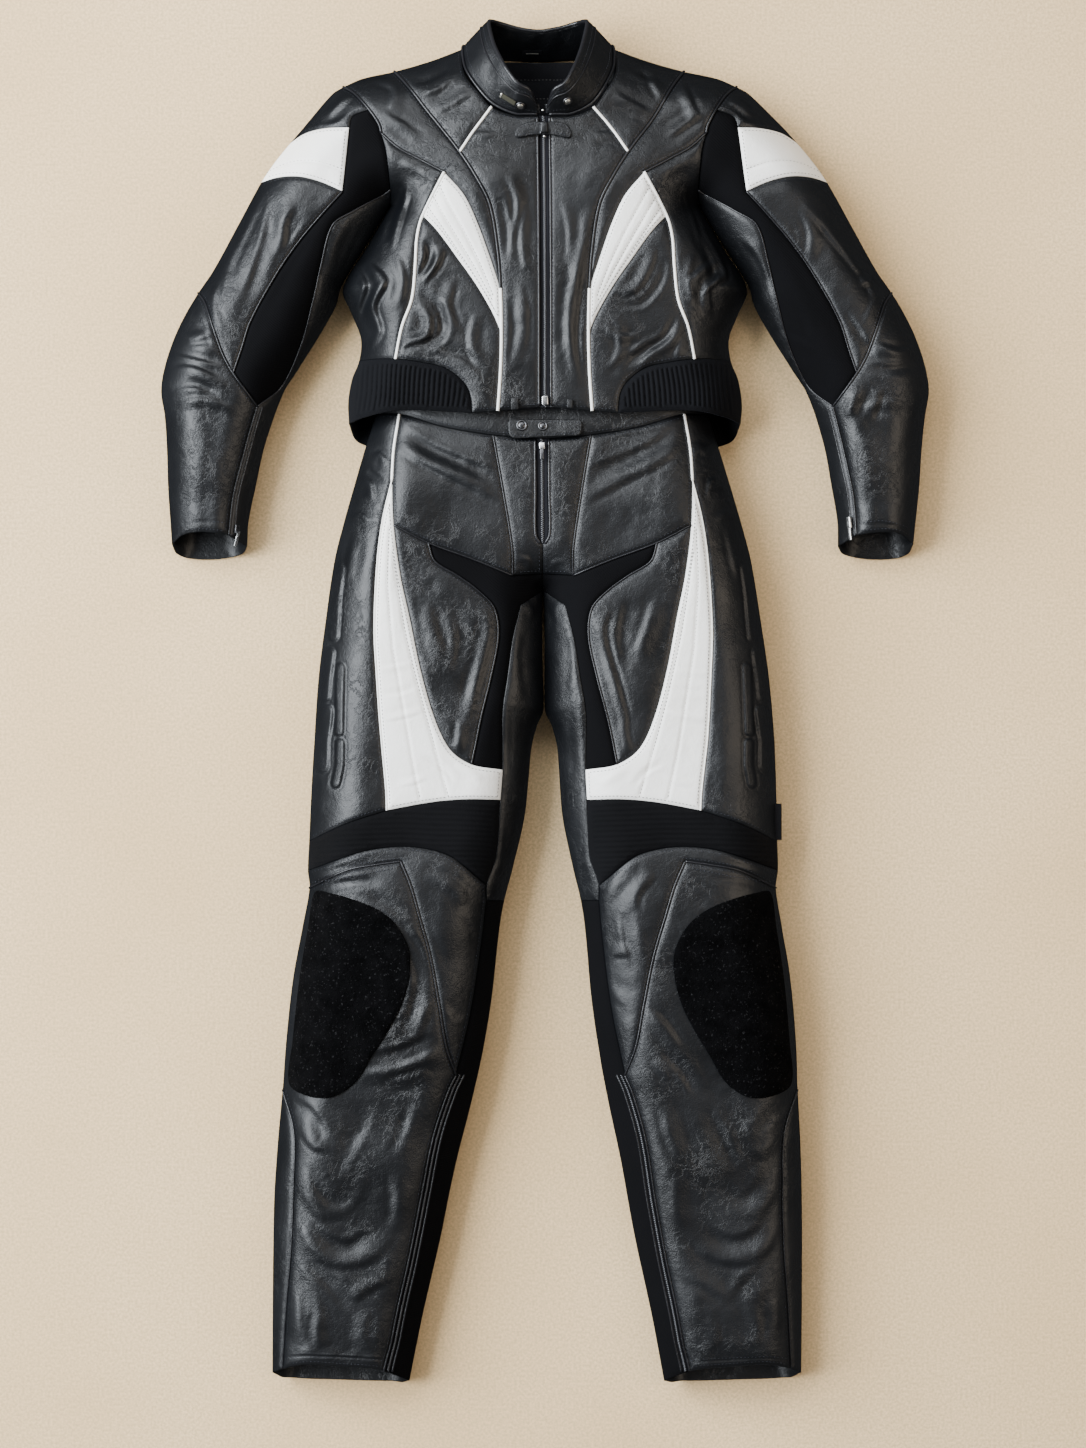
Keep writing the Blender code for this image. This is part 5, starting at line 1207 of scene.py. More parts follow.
def plain_floor():
    """Pale warm board with a fine grain."""
    shader = Shader("floor")
    grain = shader.noise(350.0, 4.0, 0.6)
    tone = shader.noise(3.0, 3.0)
    base = shader.between(tone, 0.3, 0.7, (0.75, 0.525, 0.275), (0.84, 0.62, 0.35))
    speckle = shader.ranged(grain, 0.35, 0.65, 0.0, 0.75)
    shader.set(Base_Color=shader.blend(speckle, base, (0.52, 0.365, 0.195)))
    shader.set(Roughness=0.93, Specular_IOR_Level=0.2)
    shader.set(Normal=shader.bump(grain, 0.0006, 0.5))
    return shader.material


# Leather: dark and light colours, least and most roughness, share of the wrinkles.
# Woven: dark and light colours, pitch and depth of the weave, sheen.
# Hard: colour, roughness, metallic.
MATERIALS = {
    "leather_black": leather(
        "leather_black", (0.0018, 0.0021, 0.0027), (0.0042, 0.0047, 0.0058), 0.35, 0.49, 1.0),
    "leather_white": leather("leather_white", (0.86, 0.845, 0.80), (0.92, 0.91, 0.875), 0.38, 0.50, 0.5),
    "stretch_fabric": woven(
        "stretch_fabric", (0.0009, 0.0009, 0.0013), (0.0016, 0.0016, 0.0022), 0.0016, 0.0003, 0.0),
    "rib_knit": woven(
        "rib_knit", (0.0022, 0.0023, 0.0030), (0.0040, 0.0042, 0.0052), 0.0012, 0.0002, 0.02),
    "zip": woven("zip_tape", (0.008, 0.008, 0.010), (0.013, 0.013, 0.016), 0.0010, 0.0003, 0.1),
    "pleated": woven(
        "pleated_fabric", (0.0012, 0.0012, 0.0015), (0.0026, 0.0026, 0.0032), 0.0014, 0.0002, 0.02),
    "loop_pad": pile("loop_pad"),
    "metal": hard("nickel", (0.68, 0.68, 0.67), 0.26),
    "pale_metal": hard("pale_nickel", (0.80, 0.77, 0.68), 0.34),
    "strap": woven("strap", (0.030, 0.029, 0.020), (0.045, 0.043, 0.030), 0.0010, 0.0002, 0.05),
    "dark_metal": hard("dark_nickel", (0.10, 0.10, 0.105), 0.32),
    "coil": hard("zip_coil", (0.12, 0.122, 0.13), 0.38, 0.7),
    "thread_black": woven(
        "thread_black", (0.012, 0.012, 0.014), (0.022, 0.022, 0.025), 0.0006, 0.0001, 0.2),
    "thread_grey": woven("thread_grey", (0.13, 0.125, 0.115), (0.20, 0.19, 0.18), 0.0006, 0.0001, 0.1),
    "piping_white": leather("piping_white", (0.86, 0.845, 0.80), (0.93, 0.92, 0.88), 0.36, 0.46, 0.4),
    "piping_black": leather(
        "piping_black", (0.006, 0.006, 0.007), (0.011, 0.011, 0.013), 0.24, 0.34, 0.4),
    "lining": woven("lining", (0.006, 0.006, 0.007), (0.010, 0.010, 0.012), 0.0014, 0.0002, 0.05)}

PLAIN_GRID, BACK_GRID = (2.5, 2.3), (7.0, 7.0)


def lies(creases, wrinkles, lift_by=0.0, pattern=None, grid=PLAIN_GRID, **material):
    """How a panel lies: share of the creases and of the small wrinkles it shows, how far it
    stands up, its pattern, and the spacing of its points across and up."""
    return dict(creases=creases, wrinkles=wrinkles, lift_by=lift_by, pattern=pattern, grid=grid, **material)


STYLES = {
    "": lies(1.0, 1.0),
    "chest_flash": lies(0.45, 0.6, 0.2, quilting, (1.5, 1.5)),
    "thigh_flash": lies(0.8, 0.7, 0.2, quilting, (1.6, 1.6)),
    "sleeve_band": lies(0.5, 0.6, 0.4, quilting, (1.5, 1.5)),
    "sleeve_stretch": lies(0.5, 0.15, -1.2),
    "trouser_stretch": lies(0.6, 0.15, -1.2),
    "calf_stretch": lies(0.6, 0.2, -1.0),
    "trouser_side": lies(1.0, 0.8, 0.0, armour_bars, (1.8, 2.2)),
    "jacket_rib": lies(0.15, 0.0, 0.0, knit_ribs, (1.05, 3.0)),
    "knee_pleats": lies(0.2, 0.0, -0.8, accordion, (3.4, 1.05), material="pleated"),
    "waistband": lies(0.6, 0.4)}
STITCHED = (
    "jacket_front", "jacket_yoke", "jacket_shoulder", "jacket_lower_front", "chest_flash", "sleeve_cap",
    "sleeve_band", "sleeve_upper", "sleeve_forearm", "trouser_front", "trouser_hip", "trouser_thigh",
    "trouser_side", "thigh_flash", "knee_panel", "shin_panel", "waistband")

# Piping: plan, seam, from, to, radius, material
PIPING = [
    ("jacket", "collar_piping", "neck_piping", "cross", 1.5, "piping_white"),
    ("jacket", "side_piping", "chest_tip", "rib_piping", 1.6, "piping_white"),
    ("jacket", "princess", "strip_end", "hem_a", 1.7, "piping_white"),
    ("trousers", "side_piping", "waist_piping", "piping_tip", 1.6, "piping_white"),
    ("jacket", "princess", "yoke_top", "strip_end", 1.5, "piping_black"),
    ("jacket", "armhole", "tip", "arm_b", 1.4, "piping_black"),
    ("jacket", "bust", "chest_tip", "arm_b", 1.2, "piping_black"),
    ("jacket", "elbow", "elbow_out", "zip_top", 1.2, "piping_black"),
    ("trousers", "seam_e", "e_top", "h_top", 1.3, "piping_black"),
    ("trousers", "white_outer", "piping_tip", "white_out", 0.9, "piping_white"),
    ("trousers", "seam_h", "h_top", "h_end", 1.2, "piping_black"),
    ("trousers", "seam_g", "calf_top", "g_end", 1.1, "piping_black"),
    ("trousers", "seam_c", "waist_c", "c_end", 1.0, "piping_black"),
    ("trousers", "seam_d", "d_start", "c_end", 1.0, "piping_black"),
    ("trousers", "thigh_edge", "v_tip", "white_in", 1.0, "piping_black"),
    ("trousers", "band", "band_out", "e_top", 1.2, "piping_black"),
    ("jacket", "arm_stretch", "band_in_bottom", "elbow_mid", 1.0, "piping_black"),
    ("jacket", "arm_inner", "inner_top", "zip_top", 1.0, "piping_black"),
    ("jacket", "cuff_zip", "zip_top", "zip_end", 1.3, "piping_black")]

# Side zips, with their coils: plan, seam, from, to, distance from the seam towards the middle
SIDE_ZIPS = [
    ("jacket", "cuff_zip", "zip_top", "zip_end", 2.6),
    ("trousers", "seam_h", "h_top", "h_end", 4.4)]

# Quilting and extra seams sewn on a panel: plan, node, thread, points (u, v)
SEWN = [
    ("jacket", "chest_flash", "thread_grey", [(118, 568), (104, 541), (88, 512), (70, 475), (56, 440)]),
    ("jacket", "chest_flash", "thread_grey", [(125, 556), (109, 528), (92, 499), (72, 464), (56, 433)]),
    ("jacket", "chest_flash", "thread_grey", [(129, 541), (112, 516), (94, 489), (72, 455), (55, 425)]),
    ("jacket", "sleeve_band", "thread_grey", [(306, 583), (282, 589), (262, 590), (242, 587), (218, 579)]),
    ("trousers", "thigh_flash", "thread_grey",
     [(166, 190), (168, 129), (163, 60), (153, 0), (143, -60), (134, -103)]),
    ("trousers", "thigh_flash", "thread_grey", [(163, 165), (150, 80), (134, 10), (118, -50), (103, -102)]),
    ("jacket", "jacket_shoulder", "thread_black", [(93, 594), (100, 584), (107, 576)]),
    ("jacket", "sleeve_forearm", "thread_black", [(404, 191), (388, 196), (368, 199), (347, 197)]),
    ("trousers", "shin_panel", "thread_black", [(274, -723), (250, -722), (207, -725), (168, -728)]),
    ("trousers", "knee_panel", "thread_black", [(250, -195), (213, -189), (183, -183), (160, -178)])]

# Bars pressed into the side leather: width, height, points (u, v)
ARMOUR_BARS = [
    (11, 2.4, [(222, 150), (226, 120), (229, 75)]),
    (12, 2.4, [(234, 56), (238, 30), (240, 8)]),
    (9, 2.2, [(221, 40), (222, 8), (223, -30)]),
    (16, 2.4, [(238, -8), (243, -40), (243, -66)]),
    (9, 2.2, [(222, -42), (222, -66), (226, -86)])]


# Finishes of the solids that are carried over as they are
CARRIED_FINISHES = [("cuff_slider", "dark_metal"), ("cuff_pull", "metal"), ("zip_slider", "dark_metal")]

# Snaps on the waist tab: name, u, v, side, radius
WAIST_SNAP_LIFT = 4.2
WAIST_SNAPS = [("waist_snap_right", 21.8, 300.7, -1, 6.0), ("waist_snap_left", 1.1, 300.0, 1, 5.2)]

# Small blocks: name, plan, u, v, side, heading, lift, size, middle (y, z), material, slot, bevel
UP, DOWN_CUFF = (0, 1), (0.12, -1)
TRIM = [
    ("fly_slider", "trousers", 0.0, 278.5, 1, UP, 1.2,
     (6.2, 7.6, 3.4), (0, 1.2), "metal", "metal", 0.9),
    ("fly_pull", "trousers", 0.0, 278.5, 1, UP, 1.2,
     (4.4, 12.0, 1.6), (-9.4, 2.0), "dark_metal", "metal", 0.7),
    ("zip_retainer", "jacket", 0.0, 327.0, 1, UP, 0.6,
     (6.6, 9.6, 3.4), (0, 1.0), "metal", "metal", 0.8),
    ("hem_loop_right", "jacket", 32.7, 323.5, -1, UP, 1.4,
     (8.0, 13.0, 1.6), (0, 0.8), "leather_black", "leather_black", 0.6),
    ("hem_loop_left", "jacket", 26.7, 323.5, 1, UP, 1.4,
     (6.0, 9.5, 1.6), (0, 0.8), "leather_black", "leather_black", 0.6),
    ("bow_knot", "jacket", 0.6, 621.0, 1, UP, 3.0,
     (8.6, 12.5, 5.0), (0, 1.0), "leather_black", "leather_black", 2.0),
    ("bow_bead", "jacket", 0.6, 611.6, 1, UP, 1.0,
     (3.2, 3.2, 3.2), (0, 1.4), "metal", "metal", 1.5),
    ("zip_top_bead", "jacket", 0.0, 640.0, 1, UP, 1.0,
     (2.8, 2.8, 2.8), (0, 1.0), "metal", "metal", 1.3),
    ("left_cuff_slider", "jacket", 337.0, 198.0, 1, DOWN_CUFF, 1.0,
     (6.0, 13.0, 3.6), (0, 1.6), "metal", "metal", 1.0),
    ("left_cuff_tab", "jacket", 337.0, 198.0, 1, DOWN_CUFF, 1.0,
     (3.6, 15.0, 1.4), (12.0, 2.6), "metal", "metal", 0.6)]
SIDE_TAG_SPOT, SIDE_TAG_LIFT = (256.0, -129.7), 3.0

# Lights: name, place, target, size, power, colour
LIGHTS = [
    ("window", (-3.2, 0.8, 2.5), (0, 0, 0), (4.2, 3.0), 720, (0.90, 0.95, 1.0)),
    ("fill", (3.0, 0.0, 2.6), (0, 0, 0), (2.4, 3.0), 80, (1.0, 0.86, 0.70)),
    ("above", (-0.4, 2.6, 3.2), (0, 0.1, 0), (3.5, 1.6), 90, (0.96, 0.98, 1.0))]
SKY_COLOUR, SKY_STRENGTH = (0.93, 0.96, 1.0, 1.0), 0.20
CAMERA_PLACE, CAMERA_LENS, SENSOR_HEIGHT = (-0.0022, -0.0214, 3.79), 85.0, 36.0


# ---------------------------------------------------------------- panels

def build_floor():
    """A level board just under the suit."""
    corners = np.array([(-1, -1, 0), (1, -1, 0), (1, 1, 0), (-1, 1, 0)]) * (FLOOR_SIZE / 2 / MM)
    corners = corners - (0, 0, FLOOR_DROP)
    floor = new_piece("floor", corners, np.array([(0, 1, 2, 3)]), plain_floor(), False)
    floor.visible_glossy = False     # the leather reflects the room, not the floor beside it


def style_of(node):
    return STYLES.get(node, STYLES[""])


def build_panel(node, plan, slot, thickness, patches, side, threads):
    """One panel as a shell, with stitches along its seams. Side 0 is a panel across the centre."""
    style = style_of(node)
    name = f"{node}_{SIDE_NAMES[side]}" if side else node
    built, sizes = [], []
    for facing, text in patches:
        points, normals, faces, size, outline, edges = make_patch(plan, text, side, facing, style)
        built.append((points, normals, faces))
        sizes.append(size)
        if facing == "up" and node in STITCHED:
            sew_border(threads, plan, outline, edges, style)
    outer, normals, faces = weld(built)
    material = MATERIALS[style.get("material", slot)]
    obj = shell(name + "_skin", outer, normals, faces, thickness, material)
    declare(obj, name, outer, faces, sizes)


def sew_border(threads, plan, outline, edges, style):
    """Stitches just inside a panel's seams, as far as its corners."""
    line = outline + inward_normals(outline) * STITCH_INSET
    clear = border_distance(outline, line) > CORNER_SHARE * STITCH_INSET
    kept = clear & ~edges & ~np.roll(edges, 1)
    closed = np.append(np.arange(len(line)), 0)
    changes = np.flatnonzero(np.diff(kept[closed])) + 1
    for run in np.split(closed, changes):
        if kept[run[0]] and len(run) > 3:
            sew(threads, plan, line[run], style, STITCH_INSET)


def build_zip_tape(node, plan, seam):
    """The tape between the two edges of a zip, with the coil along its middle."""
    run, _ = plan.seams[seam]
    left, right = plan.place(run, 1), plan.place(run, -1)
    meets = np.linalg.norm(left[-1] - right[-1]) < 0.1
    outline = np.vstack([right, left[::-1][1 if meets else 0:]])
    outline = outline + inward_normals(outline) * SEAM_HALF_GAP
    flat, faces = fill(outline, fine_points(outline, ZIP_GRID, ZIP_GRID))
    style = STYLES["waistband"]
    z = plan.surface(flat, "up", style, np.zeros(len(flat))) - ZIP_SUNK
    outer, normals = np.column_stack([flat, z]), plan.normal(flat, "up")
    obj = shell(node + "_skin", outer, normals, faces, ZIP_THICK, MATERIALS["zip"])
    declare(obj, node, outer, faces, [cut_size(flat)])
    spots, heading = even_steps((left + right) / 2, COIL_PITCH / 4)
    z = plan.surface(spots, "up", style, np.zeros(len(spots))) - ZIP_SUNK + COIL_RISE
    coil = Gather()
    coil.add(*tube(np.column_stack([zigzag(spots, heading, COIL_SWING), z]), COIL_RADIUS, COIL_SIDES))
    coil.make(node + "_coil", "coil", "metal")
    rolled = Gather()
    for side, border in ((-1, right), (1, left)):
        spots, _ = even_steps(border + (side * ZIP_EDGE_RADIUS, 0), ZIP_EDGE_STEP)
        z = plan.surface(spots, "up", style, np.full(len(spots), ZIP_EDGE_DISTANCE)) + ZIP_EDGE_RISE
        rolled.add(*tube(np.column_stack([spots, z]), ZIP_EDGE_RADIUS))
    rolled.make(node + "_edges", "piping_black", "leather_black")


def build_tab(node, plan, corners, lift, thickness):
    """A leather tab lying on the panels under it, with rounded corners and a row of stitches."""
    outline = rounded(plan.place(corners, 1), TAB_CORNER)
    flat, faces = fill(outline, fine_points(outline, TAB_GRID, TAB_GRID))
    far = border_distance(outline, flat)
    style = STYLES["waistband"]
    base = plan.surface(flat, "up", style, np.full(len(flat), MID_PANEL))
    z = base + lift + TAB_PUFF * (1 - np.exp(-(far / TAB_PUFF_REACH)**2))
    outer, normals = np.column_stack([flat, z]), plan.normal(flat, "up")
    obj = shell(node + "_skin", outer, normals, faces, thickness, MATERIALS["leather_black"])
    declare(obj, node, outer, faces, [cut_size(flat)])
    threads = Gather()
    line = outline + inward_normals(outline) * TAB_STITCH_INSET
    spots, heading = even_steps(line, STITCH_LENGTH + STITCH_GAP)
    z = plan.surface(spots, "up", style, np.full(len(spots), MID_PANEL)) + lift + TAB_STITCH_RISE
    sew_level(threads, spots, heading, z, plan.normal(spots, "up"))
    threads.make(node + "_stitches", "thread_black", "leather_black")


def rounded(corners, radius):
    """The outline with its corners rounded, and points every few millimetres."""
    out = []
    for before, corner, after in zip(np.roll(corners, 1, 0), corners, np.roll(corners, -1, 0)):
        a, b = before - corner, after - corner
        cut_a = min(radius, np.linalg.norm(a) * 0.45)
        cut_b = min(radius, np.linalg.norm(b) * 0.45)
        start, end = corner + a / np.linalg.norm(a) * cut_a, corner + b / np.linalg.norm(b) * cut_b
        for t in np.linspace(0, 1, 5):
            out.append((1 - t)**2 * start + 2 * t * (1 - t) * corner + t**2 * end)
    points = np.array(out)
    dense = []
    for start, end in zip(points, np.roll(points, -1, 0)):
        count = max(1, int(np.linalg.norm(end - start) / 2.5))
        dense.extend(start + (end - start) * t for t in np.arange(count) / count)
    return np.array(dense)


def build_piping():
    """Round piping in the seams, as one mesh of each colour."""
    for colour in ("white", "black"):
        gather = Gather()
        for key, seam, start, end, radius, material in PIPING:
            if material != "piping_" + colour:
                continue
            plan = PLANS[key]
            run, places = plan.seams[seam]
            a, b = sorted((places[start], places[end]))
            for side in (-1, 1):
                spots, _ = even_steps(plan.place(run[a:b + 1], side), PIPING_STEP, True)
                z = plan.surface(spots, "up", STYLES[""], np.zeros(len(spots))) + radius * PIPING_RISE
                gather.add(*tube(np.column_stack([spots, z]), radius))
        gather.make("seam_piping_" + colour, "piping_" + colour, "leather_" + colour)


def build_side_zips():
    """Coil of each side zip, and the rolled edge of leather beyond it."""
    coil, edge = Gather(), Gather()
    for key, seam, start, end, gap in SIDE_ZIPS:
        plan = PLANS[key]
        run, places = plan.seams[seam]
        run = run[places[start]:places[end] + 1]
        for side in (-1, 1):
            spots, heading = even_steps(plan.place(run - (gap, 0), side), COIL_PITCH / 4)
            wound = zigzag(spots, heading, SIDE_COIL_SWING)
            spots, _ = even_steps(plan.place(run - (2 * gap, 0), side), COIL_PITCH / 4)
            for gather, path, radius, sides in ((coil, wound, SIDE_COIL_RADIUS, COIL_SIDES),
                                                (edge, spots[::4], SIDE_EDGE_RADIUS, 8)):
                far = np.full(len(path), SIDE_ZIP_DISTANCE)
                z = plan.surface(path, "up", STYLES["calf_stretch"], far) + radius * SIDE_ZIP_RISE
                gather.add(*tube(np.column_stack([path, z]), radius, sides))
    coil.make("side_zip_coils", "coil", "metal")
    edge.make("side_zip_edges", "piping_black", "leather_black")


def build_sewn_lines():
    """Quilting and the extra seams that are sewn on panels."""
    rows = {"thread_grey": Gather(), "thread_black": Gather()}
    for key, node, thread, points in SEWN:
        plan = PLANS[key]
        run, _ = curve_points(points, {})
        for side in (-1, 1):
            sew(rows[thread], plan, plan.place(run, side), style_of(node), QUILT_SEAM_DISTANCE, QUILT_STITCH)
    rows["thread_grey"].make("quilting_thread_grey", "thread_grey", "leather_white")
    rows["thread_black"].make("quilting_thread_black", "thread_black", "leather_black")


def collar_columns():
    """The collar's rows, drawn finely: from its right front end round the back to its left end."""
    rows = np.array(COLLAR_ROWS, float)
    halves = []
    for side in (-1, 1):
        bottom, top = JACKET.place(rows[:, :2], side), JACKET.place(rows[:, 2:4], side)
        front = np.arange(len(rows)) < COLLAR_FRONT_ROWS
        base = np.where(front, JACKET.height(bottom, "up"), JACKET.height(bottom, "back")) + CLEAR
        halves.append(np.hstack([bottom, base[:, None], top, rows[:, 4:5]]))
    coarse = np.vstack([halves[0], halves[1][:-1][::-1]])
    return curve_points([tuple(row) for row in coarse], {}, COLLAR_STEP)[0]


def build_collar():
    """Stand-up collar: outer leather, rolled top edge and lining, as one closed band."""
    columns = collar_columns()
    bottom, top = columns[:, :3], columns[:, 3:]
    share = np.linspace(0, 1, COLLAR_LEVELS)
    bulge = COLLAR_BULGE * np.sin(math.pi * share)
    sheet = bottom[:, None] * (1 - share)[None, :, None] + top[:, None] * share[None, :, None]
    sheet[:, :, 2] += bulge[None]
    wave = ripple(MID_WAVES, sheet.reshape(-1, 3)[:, :2]).reshape(sheet.shape[:2])
    sheet[:, :, 2] += COLLAR_WAVE * wave * np.sin(math.pi * share)[None]
    across = np.gradient(sheet, axis=0)
    up = np.gradient(sheet, axis=1)
    normals = np.cross(across, up)
    normals /= np.maximum(np.linalg.norm(normals, axis=2), 1e-6)[..., None]
    middle = sheet.mean((0, 1))
    if ((sheet - middle) * normals)[..., :2].sum() < 0:
        normals = -normals
    count, levels = sheet.shape[:2]
    outer = sheet.reshape(-1, 3)
    flat_normals = normals.reshape(-1, 3)
    k, j = np.meshgrid(np.arange(count - 1), np.arange(levels - 1), indexing="ij")
    a = (k * levels + j).ravel()
    faces = np.concatenate([np.column_stack([a, a + levels, a + levels + 1]),
                            np.column_stack([a, a + levels + 1, a + 1])])
    tri = outer[faces]
    face_normals = np.cross(tri[:, 1] - tri[:, 0], tri[:, 2] - tri[:, 0])
    if (face_normals * flat_normals[faces[:, 0]]).sum() < 0:
        faces = faces[:, ::-1]
    obj = shell("collar_skin", outer, flat_normals, faces, FOLDED, MATERIALS["leather_black"])
    length = np.linalg.norm(np.diff((bottom + top) / 2, axis=0), axis=1).sum()
    tall = np.linalg.norm(top - bottom, axis=1).max()
    declare(obj, "collar", outer, faces, [(length, tall)])
    trim = Gather()
    rim = top + normals[:, -1] * (-FOLDED / 2)
    trim.add(*tube(even_steps(rim, PIPING_STEP)[0], FOLDED / 2 + COLLAR_ROLL, 10))
    for k in (0, -1):
        end = np.linspace(bottom[k], top[k], COLLAR_END_POINTS) - normals[k, 0] * FOLDED / 2
        trim.add(*tube(end, FOLDED / 2 + COLLAR_END_ROLL, 10))
    foot = bottom + normals[:, 0] * COLLAR_FOOT_LIFT
    trim.add(*tube(even_steps(foot, PIPING_STEP)[0], COLLAR_FOOT_RADIUS))
    ridge = sheet[:, int(COLLAR_RIDGE * levels)]
    trim.add(*tube(even_steps(ridge, PIPING_STEP)[0], COLLAR_RIDGE_RADIUS))
    trim.make("collar_roll", "piping_black", "leather_black")
    threads = Gather()
    for level in COLLAR_STITCHES:
        at = level * (levels - 1)
        low = int(at)
        row = sheet[:, low] * (1 - at + low) + sheet[:, low + 1] * (at - low)
        row_normals = normals[:, low]
        spots, heading = even_steps(np.hstack([row, row_normals]), STITCH_LENGTH + STITCH_GAP)
        place, out = spots[:, :3], spots[:, 3:] / np.linalg.norm(spots[:, 3:], axis=1)[:, None]
        along = heading[:, :3] / np.linalg.norm(heading[:, :3], axis=1)[:, None]
        threads.add(*stitches(place + out * STITCH_RISE, along, out, STITCH_LENGTH, STITCH_WIDTH))
    threads.make("collar_stitches", "thread_black", "leather_black")
    return sheet, normals


def set_on(place, normal, heading, side):
    """Matrix at a place in millimetres: z along the normal, y along the heading on the plan."""
    along = Vector((side * heading[0], heading[1], 0))
    along = (along - normal * along.dot(normal)).normalized()
    matrix = Matrix((along.cross(normal), along, normal)).transposed().to_4x4()
    matrix.translation = place * MM
    return matrix


def on_collar(collar, u, v, side, heading=(0, 1), inner=False):
    """Matrix of a small piece on the collar's outer face, or inside it at the back."""
    points, out = (values.reshape(-1, 3) for values in collar)
    if inner:
        points, out = points - out * FOLDED, -out
    gap = np.linalg.norm(points[:, :2] - JACKET.place((u, v), side), axis=1)
    at = np.where(out[:, 2] > 0.1, gap, np.inf).argmin()
    return set_on(Vector(points[at]), Vector(out[at]), heading, side)


def build_collar_trim(collar):
    """Snaps, strap and label of the collar."""
    snap("collar_snap_right", on_collar(collar, 23.9, 643.6, -1), 5.4, "pale_metal")
    snap("collar_snap_left", on_collar(collar, 26.5, 647.5, 1), 4.9, "pale_metal")
    strap = on_collar(collar, 36.6, 649.7, -1, (-0.92, -0.38))
    label = on_collar(collar, 7.0, 718, -1, inner=True)
    for name, matrix, size, middle, material, slot, bevel in (
            ("collar_strap", strap, (5.6, 19, 1.8), (0, 0, 1.0), "strap", "leather_black", 0.7),
            ("collar_strap_end", strap, (6.2, 2.6, 2.6), (0, -8.6, 1.3), "pale_metal", "metal", 0.8),
            ("collar_label", label, (22, 9, 0.5), (0, 0, 0.25), "lining", "stretch_fabric", 0.2),
            ("collar_label_bar", label, (14, 1.5, 0.4), (0, 0, 0.6), "pale_metal", "stretch_fabric", 0.1)):
        beveled_box(name, size, middle, matrix, material, bevel)


def lining_height(xy):
    """Height of the neck lining, before its rows of quilting."""
    z = JACKET.surface(xy, "back", STYLES[""], np.full(len(xy), MID_PANEL)) + LEATHER + LINING_LIFT
    return z + LINING_WAVE * ripple(MID_WAVES, xy)


def build_lining():
    """Lining inside the back of the neck, with its rows of quilting."""
    half = np.array(LINING_EDGE, float)
    outline = np.vstack([JACKET.place(half, 1), JACKET.place(half[1:-1], -1)[::-1]])
    outline = rounded(outline, TAB_CORNER)
    flat, faces = fill(outline, fine_points(outline, LINING_GRID, LINING_GRID))
    grooves = np.exp(-((flat[:, 1:] - LINING_ROWS) / LINING_DIP_REACH)**2).sum(1)
    outer = np.column_stack([flat, lining_height(flat) - LINING_DIP * grooves])
    up = np.repeat([(0.0, 0.0, 1.0)], len(flat), 0)
    obj = shell("neck_lining", outer, up, faces, LINING_THICK, MATERIALS["lining"])
    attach(obj, BODY)
    threads = Gather()
    for v in LINING_ROWS:
        half = [(u, v) for u in LINING_STITCHED]
        run = np.vstack([JACKET.place(half, -1), JACKET.place([(0, v), *half[::-1]], 1)])
        spots, heading = even_steps(run, STITCH_LENGTH + STITCH_GAP)
        up = np.repeat([(0.0, 0.0, 1.0)], len(spots), 0)
        sew_level(threads, spots, heading, lining_height(spots) - LINING_STITCH_DIP, up)
    threads.make("lining_stitches", "thread_grey", "stretch_fabric")


def on_form(plan, u, v, side, heading=(0, 1), lift=0.0):
    """Matrix of a small piece on the garment: x across it, y along its heading, z outwards."""
    spot = plan.place((u, v), side)
    normal = Vector(plan.normal(spot, "up")[0])
    height = plan.surface(spot, "up", STYLES["waistband"], np.array([ON_PANEL]))[0]
    return set_on(Vector((*spot[0], height)) + normal * lift, normal, heading, side)


def turned(name, profile, matrix, material):
    """A turned piece of metal: (radius, height) pairs swept about the matrix's z axis."""
    rows, sides = np.array(profile, float), TURNED_SIDES
    angle = 2 * math.pi * np.arange(sides) / sides
    points = np.stack([rows[:, :1] * np.cos(angle), rows[:, :1] * np.sin(angle),
                       np.repeat(rows[:, 1:], sides, 1)], 2).reshape(-1, 3)
    k, j = np.meshgrid(np.arange(len(rows) - 1), np.arange(sides), indexing="ij")
    a, b = (k * sides + j).ravel(), (k * sides + (j + 1) % sides).ravel()
    faces = [np.column_stack([a, b, b + sides, a + sides]), np.array([np.arange(sides)[::-1]]),
             np.array([np.arange(sides) + (len(rows) - 1) * sides])]
    world = np.array(matrix)
    points = points @ world[:3, :3].T + world[:3, 3] / MM
    obj = new_piece(name, points, faces, MATERIALS[material])
    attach(obj, BODY)


def snap(name, matrix, radius, cap):
    """A snap fastener: a rolled ring round a low dome."""
    ring = [(radius * share, height) for share, height in SNAP_RING]
    dome = [(radius * share, height) for share, height in SNAP_CAP]
    turned(name + "_ring", ring, matrix, "dark_metal")
    turned(name + "_cap", [*dome, SNAP_CROWN], matrix, cap)


def beveled_box(name, size, centre, matrix, material, bevel):
    """A small block with rounded edges, placed by the matrix."""
    mesh = bpy.data.meshes.new(name)
    bm = bmesh.new()
    bmesh.ops.create_cube(bm, size=1.0)
    bmesh.ops.scale(bm, vec=Vector(size) * MM, verts=bm.verts)
    bmesh.ops.translate(bm, vec=Vector(centre) * MM, verts=bm.verts)
    bmesh.ops.bevel(bm, geom=bm.edges[:], offset=bevel * MM, segments=3, profile=0.5, affect="EDGES")
    bmesh.ops.transform(bm, matrix=matrix, verts=bm.verts)
    bm.to_mesh(mesh)
    bm.free()
    mesh.shade_smooth()
    obj = linked(name, mesh, MATERIALS[material])
    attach(obj, BODY)


# ---------------------------------------------------------------- building

SOFT_WAVES = make_waves(3, 46, 120)
MID_WAVES = make_waves(4, 15, 34)
FINE_WAVES = make_waves(5, 7, 15)
PATCH_WAVES = make_waves(6, 90, 240)
CURL_WAVES = make_waves(8, 5, 9)

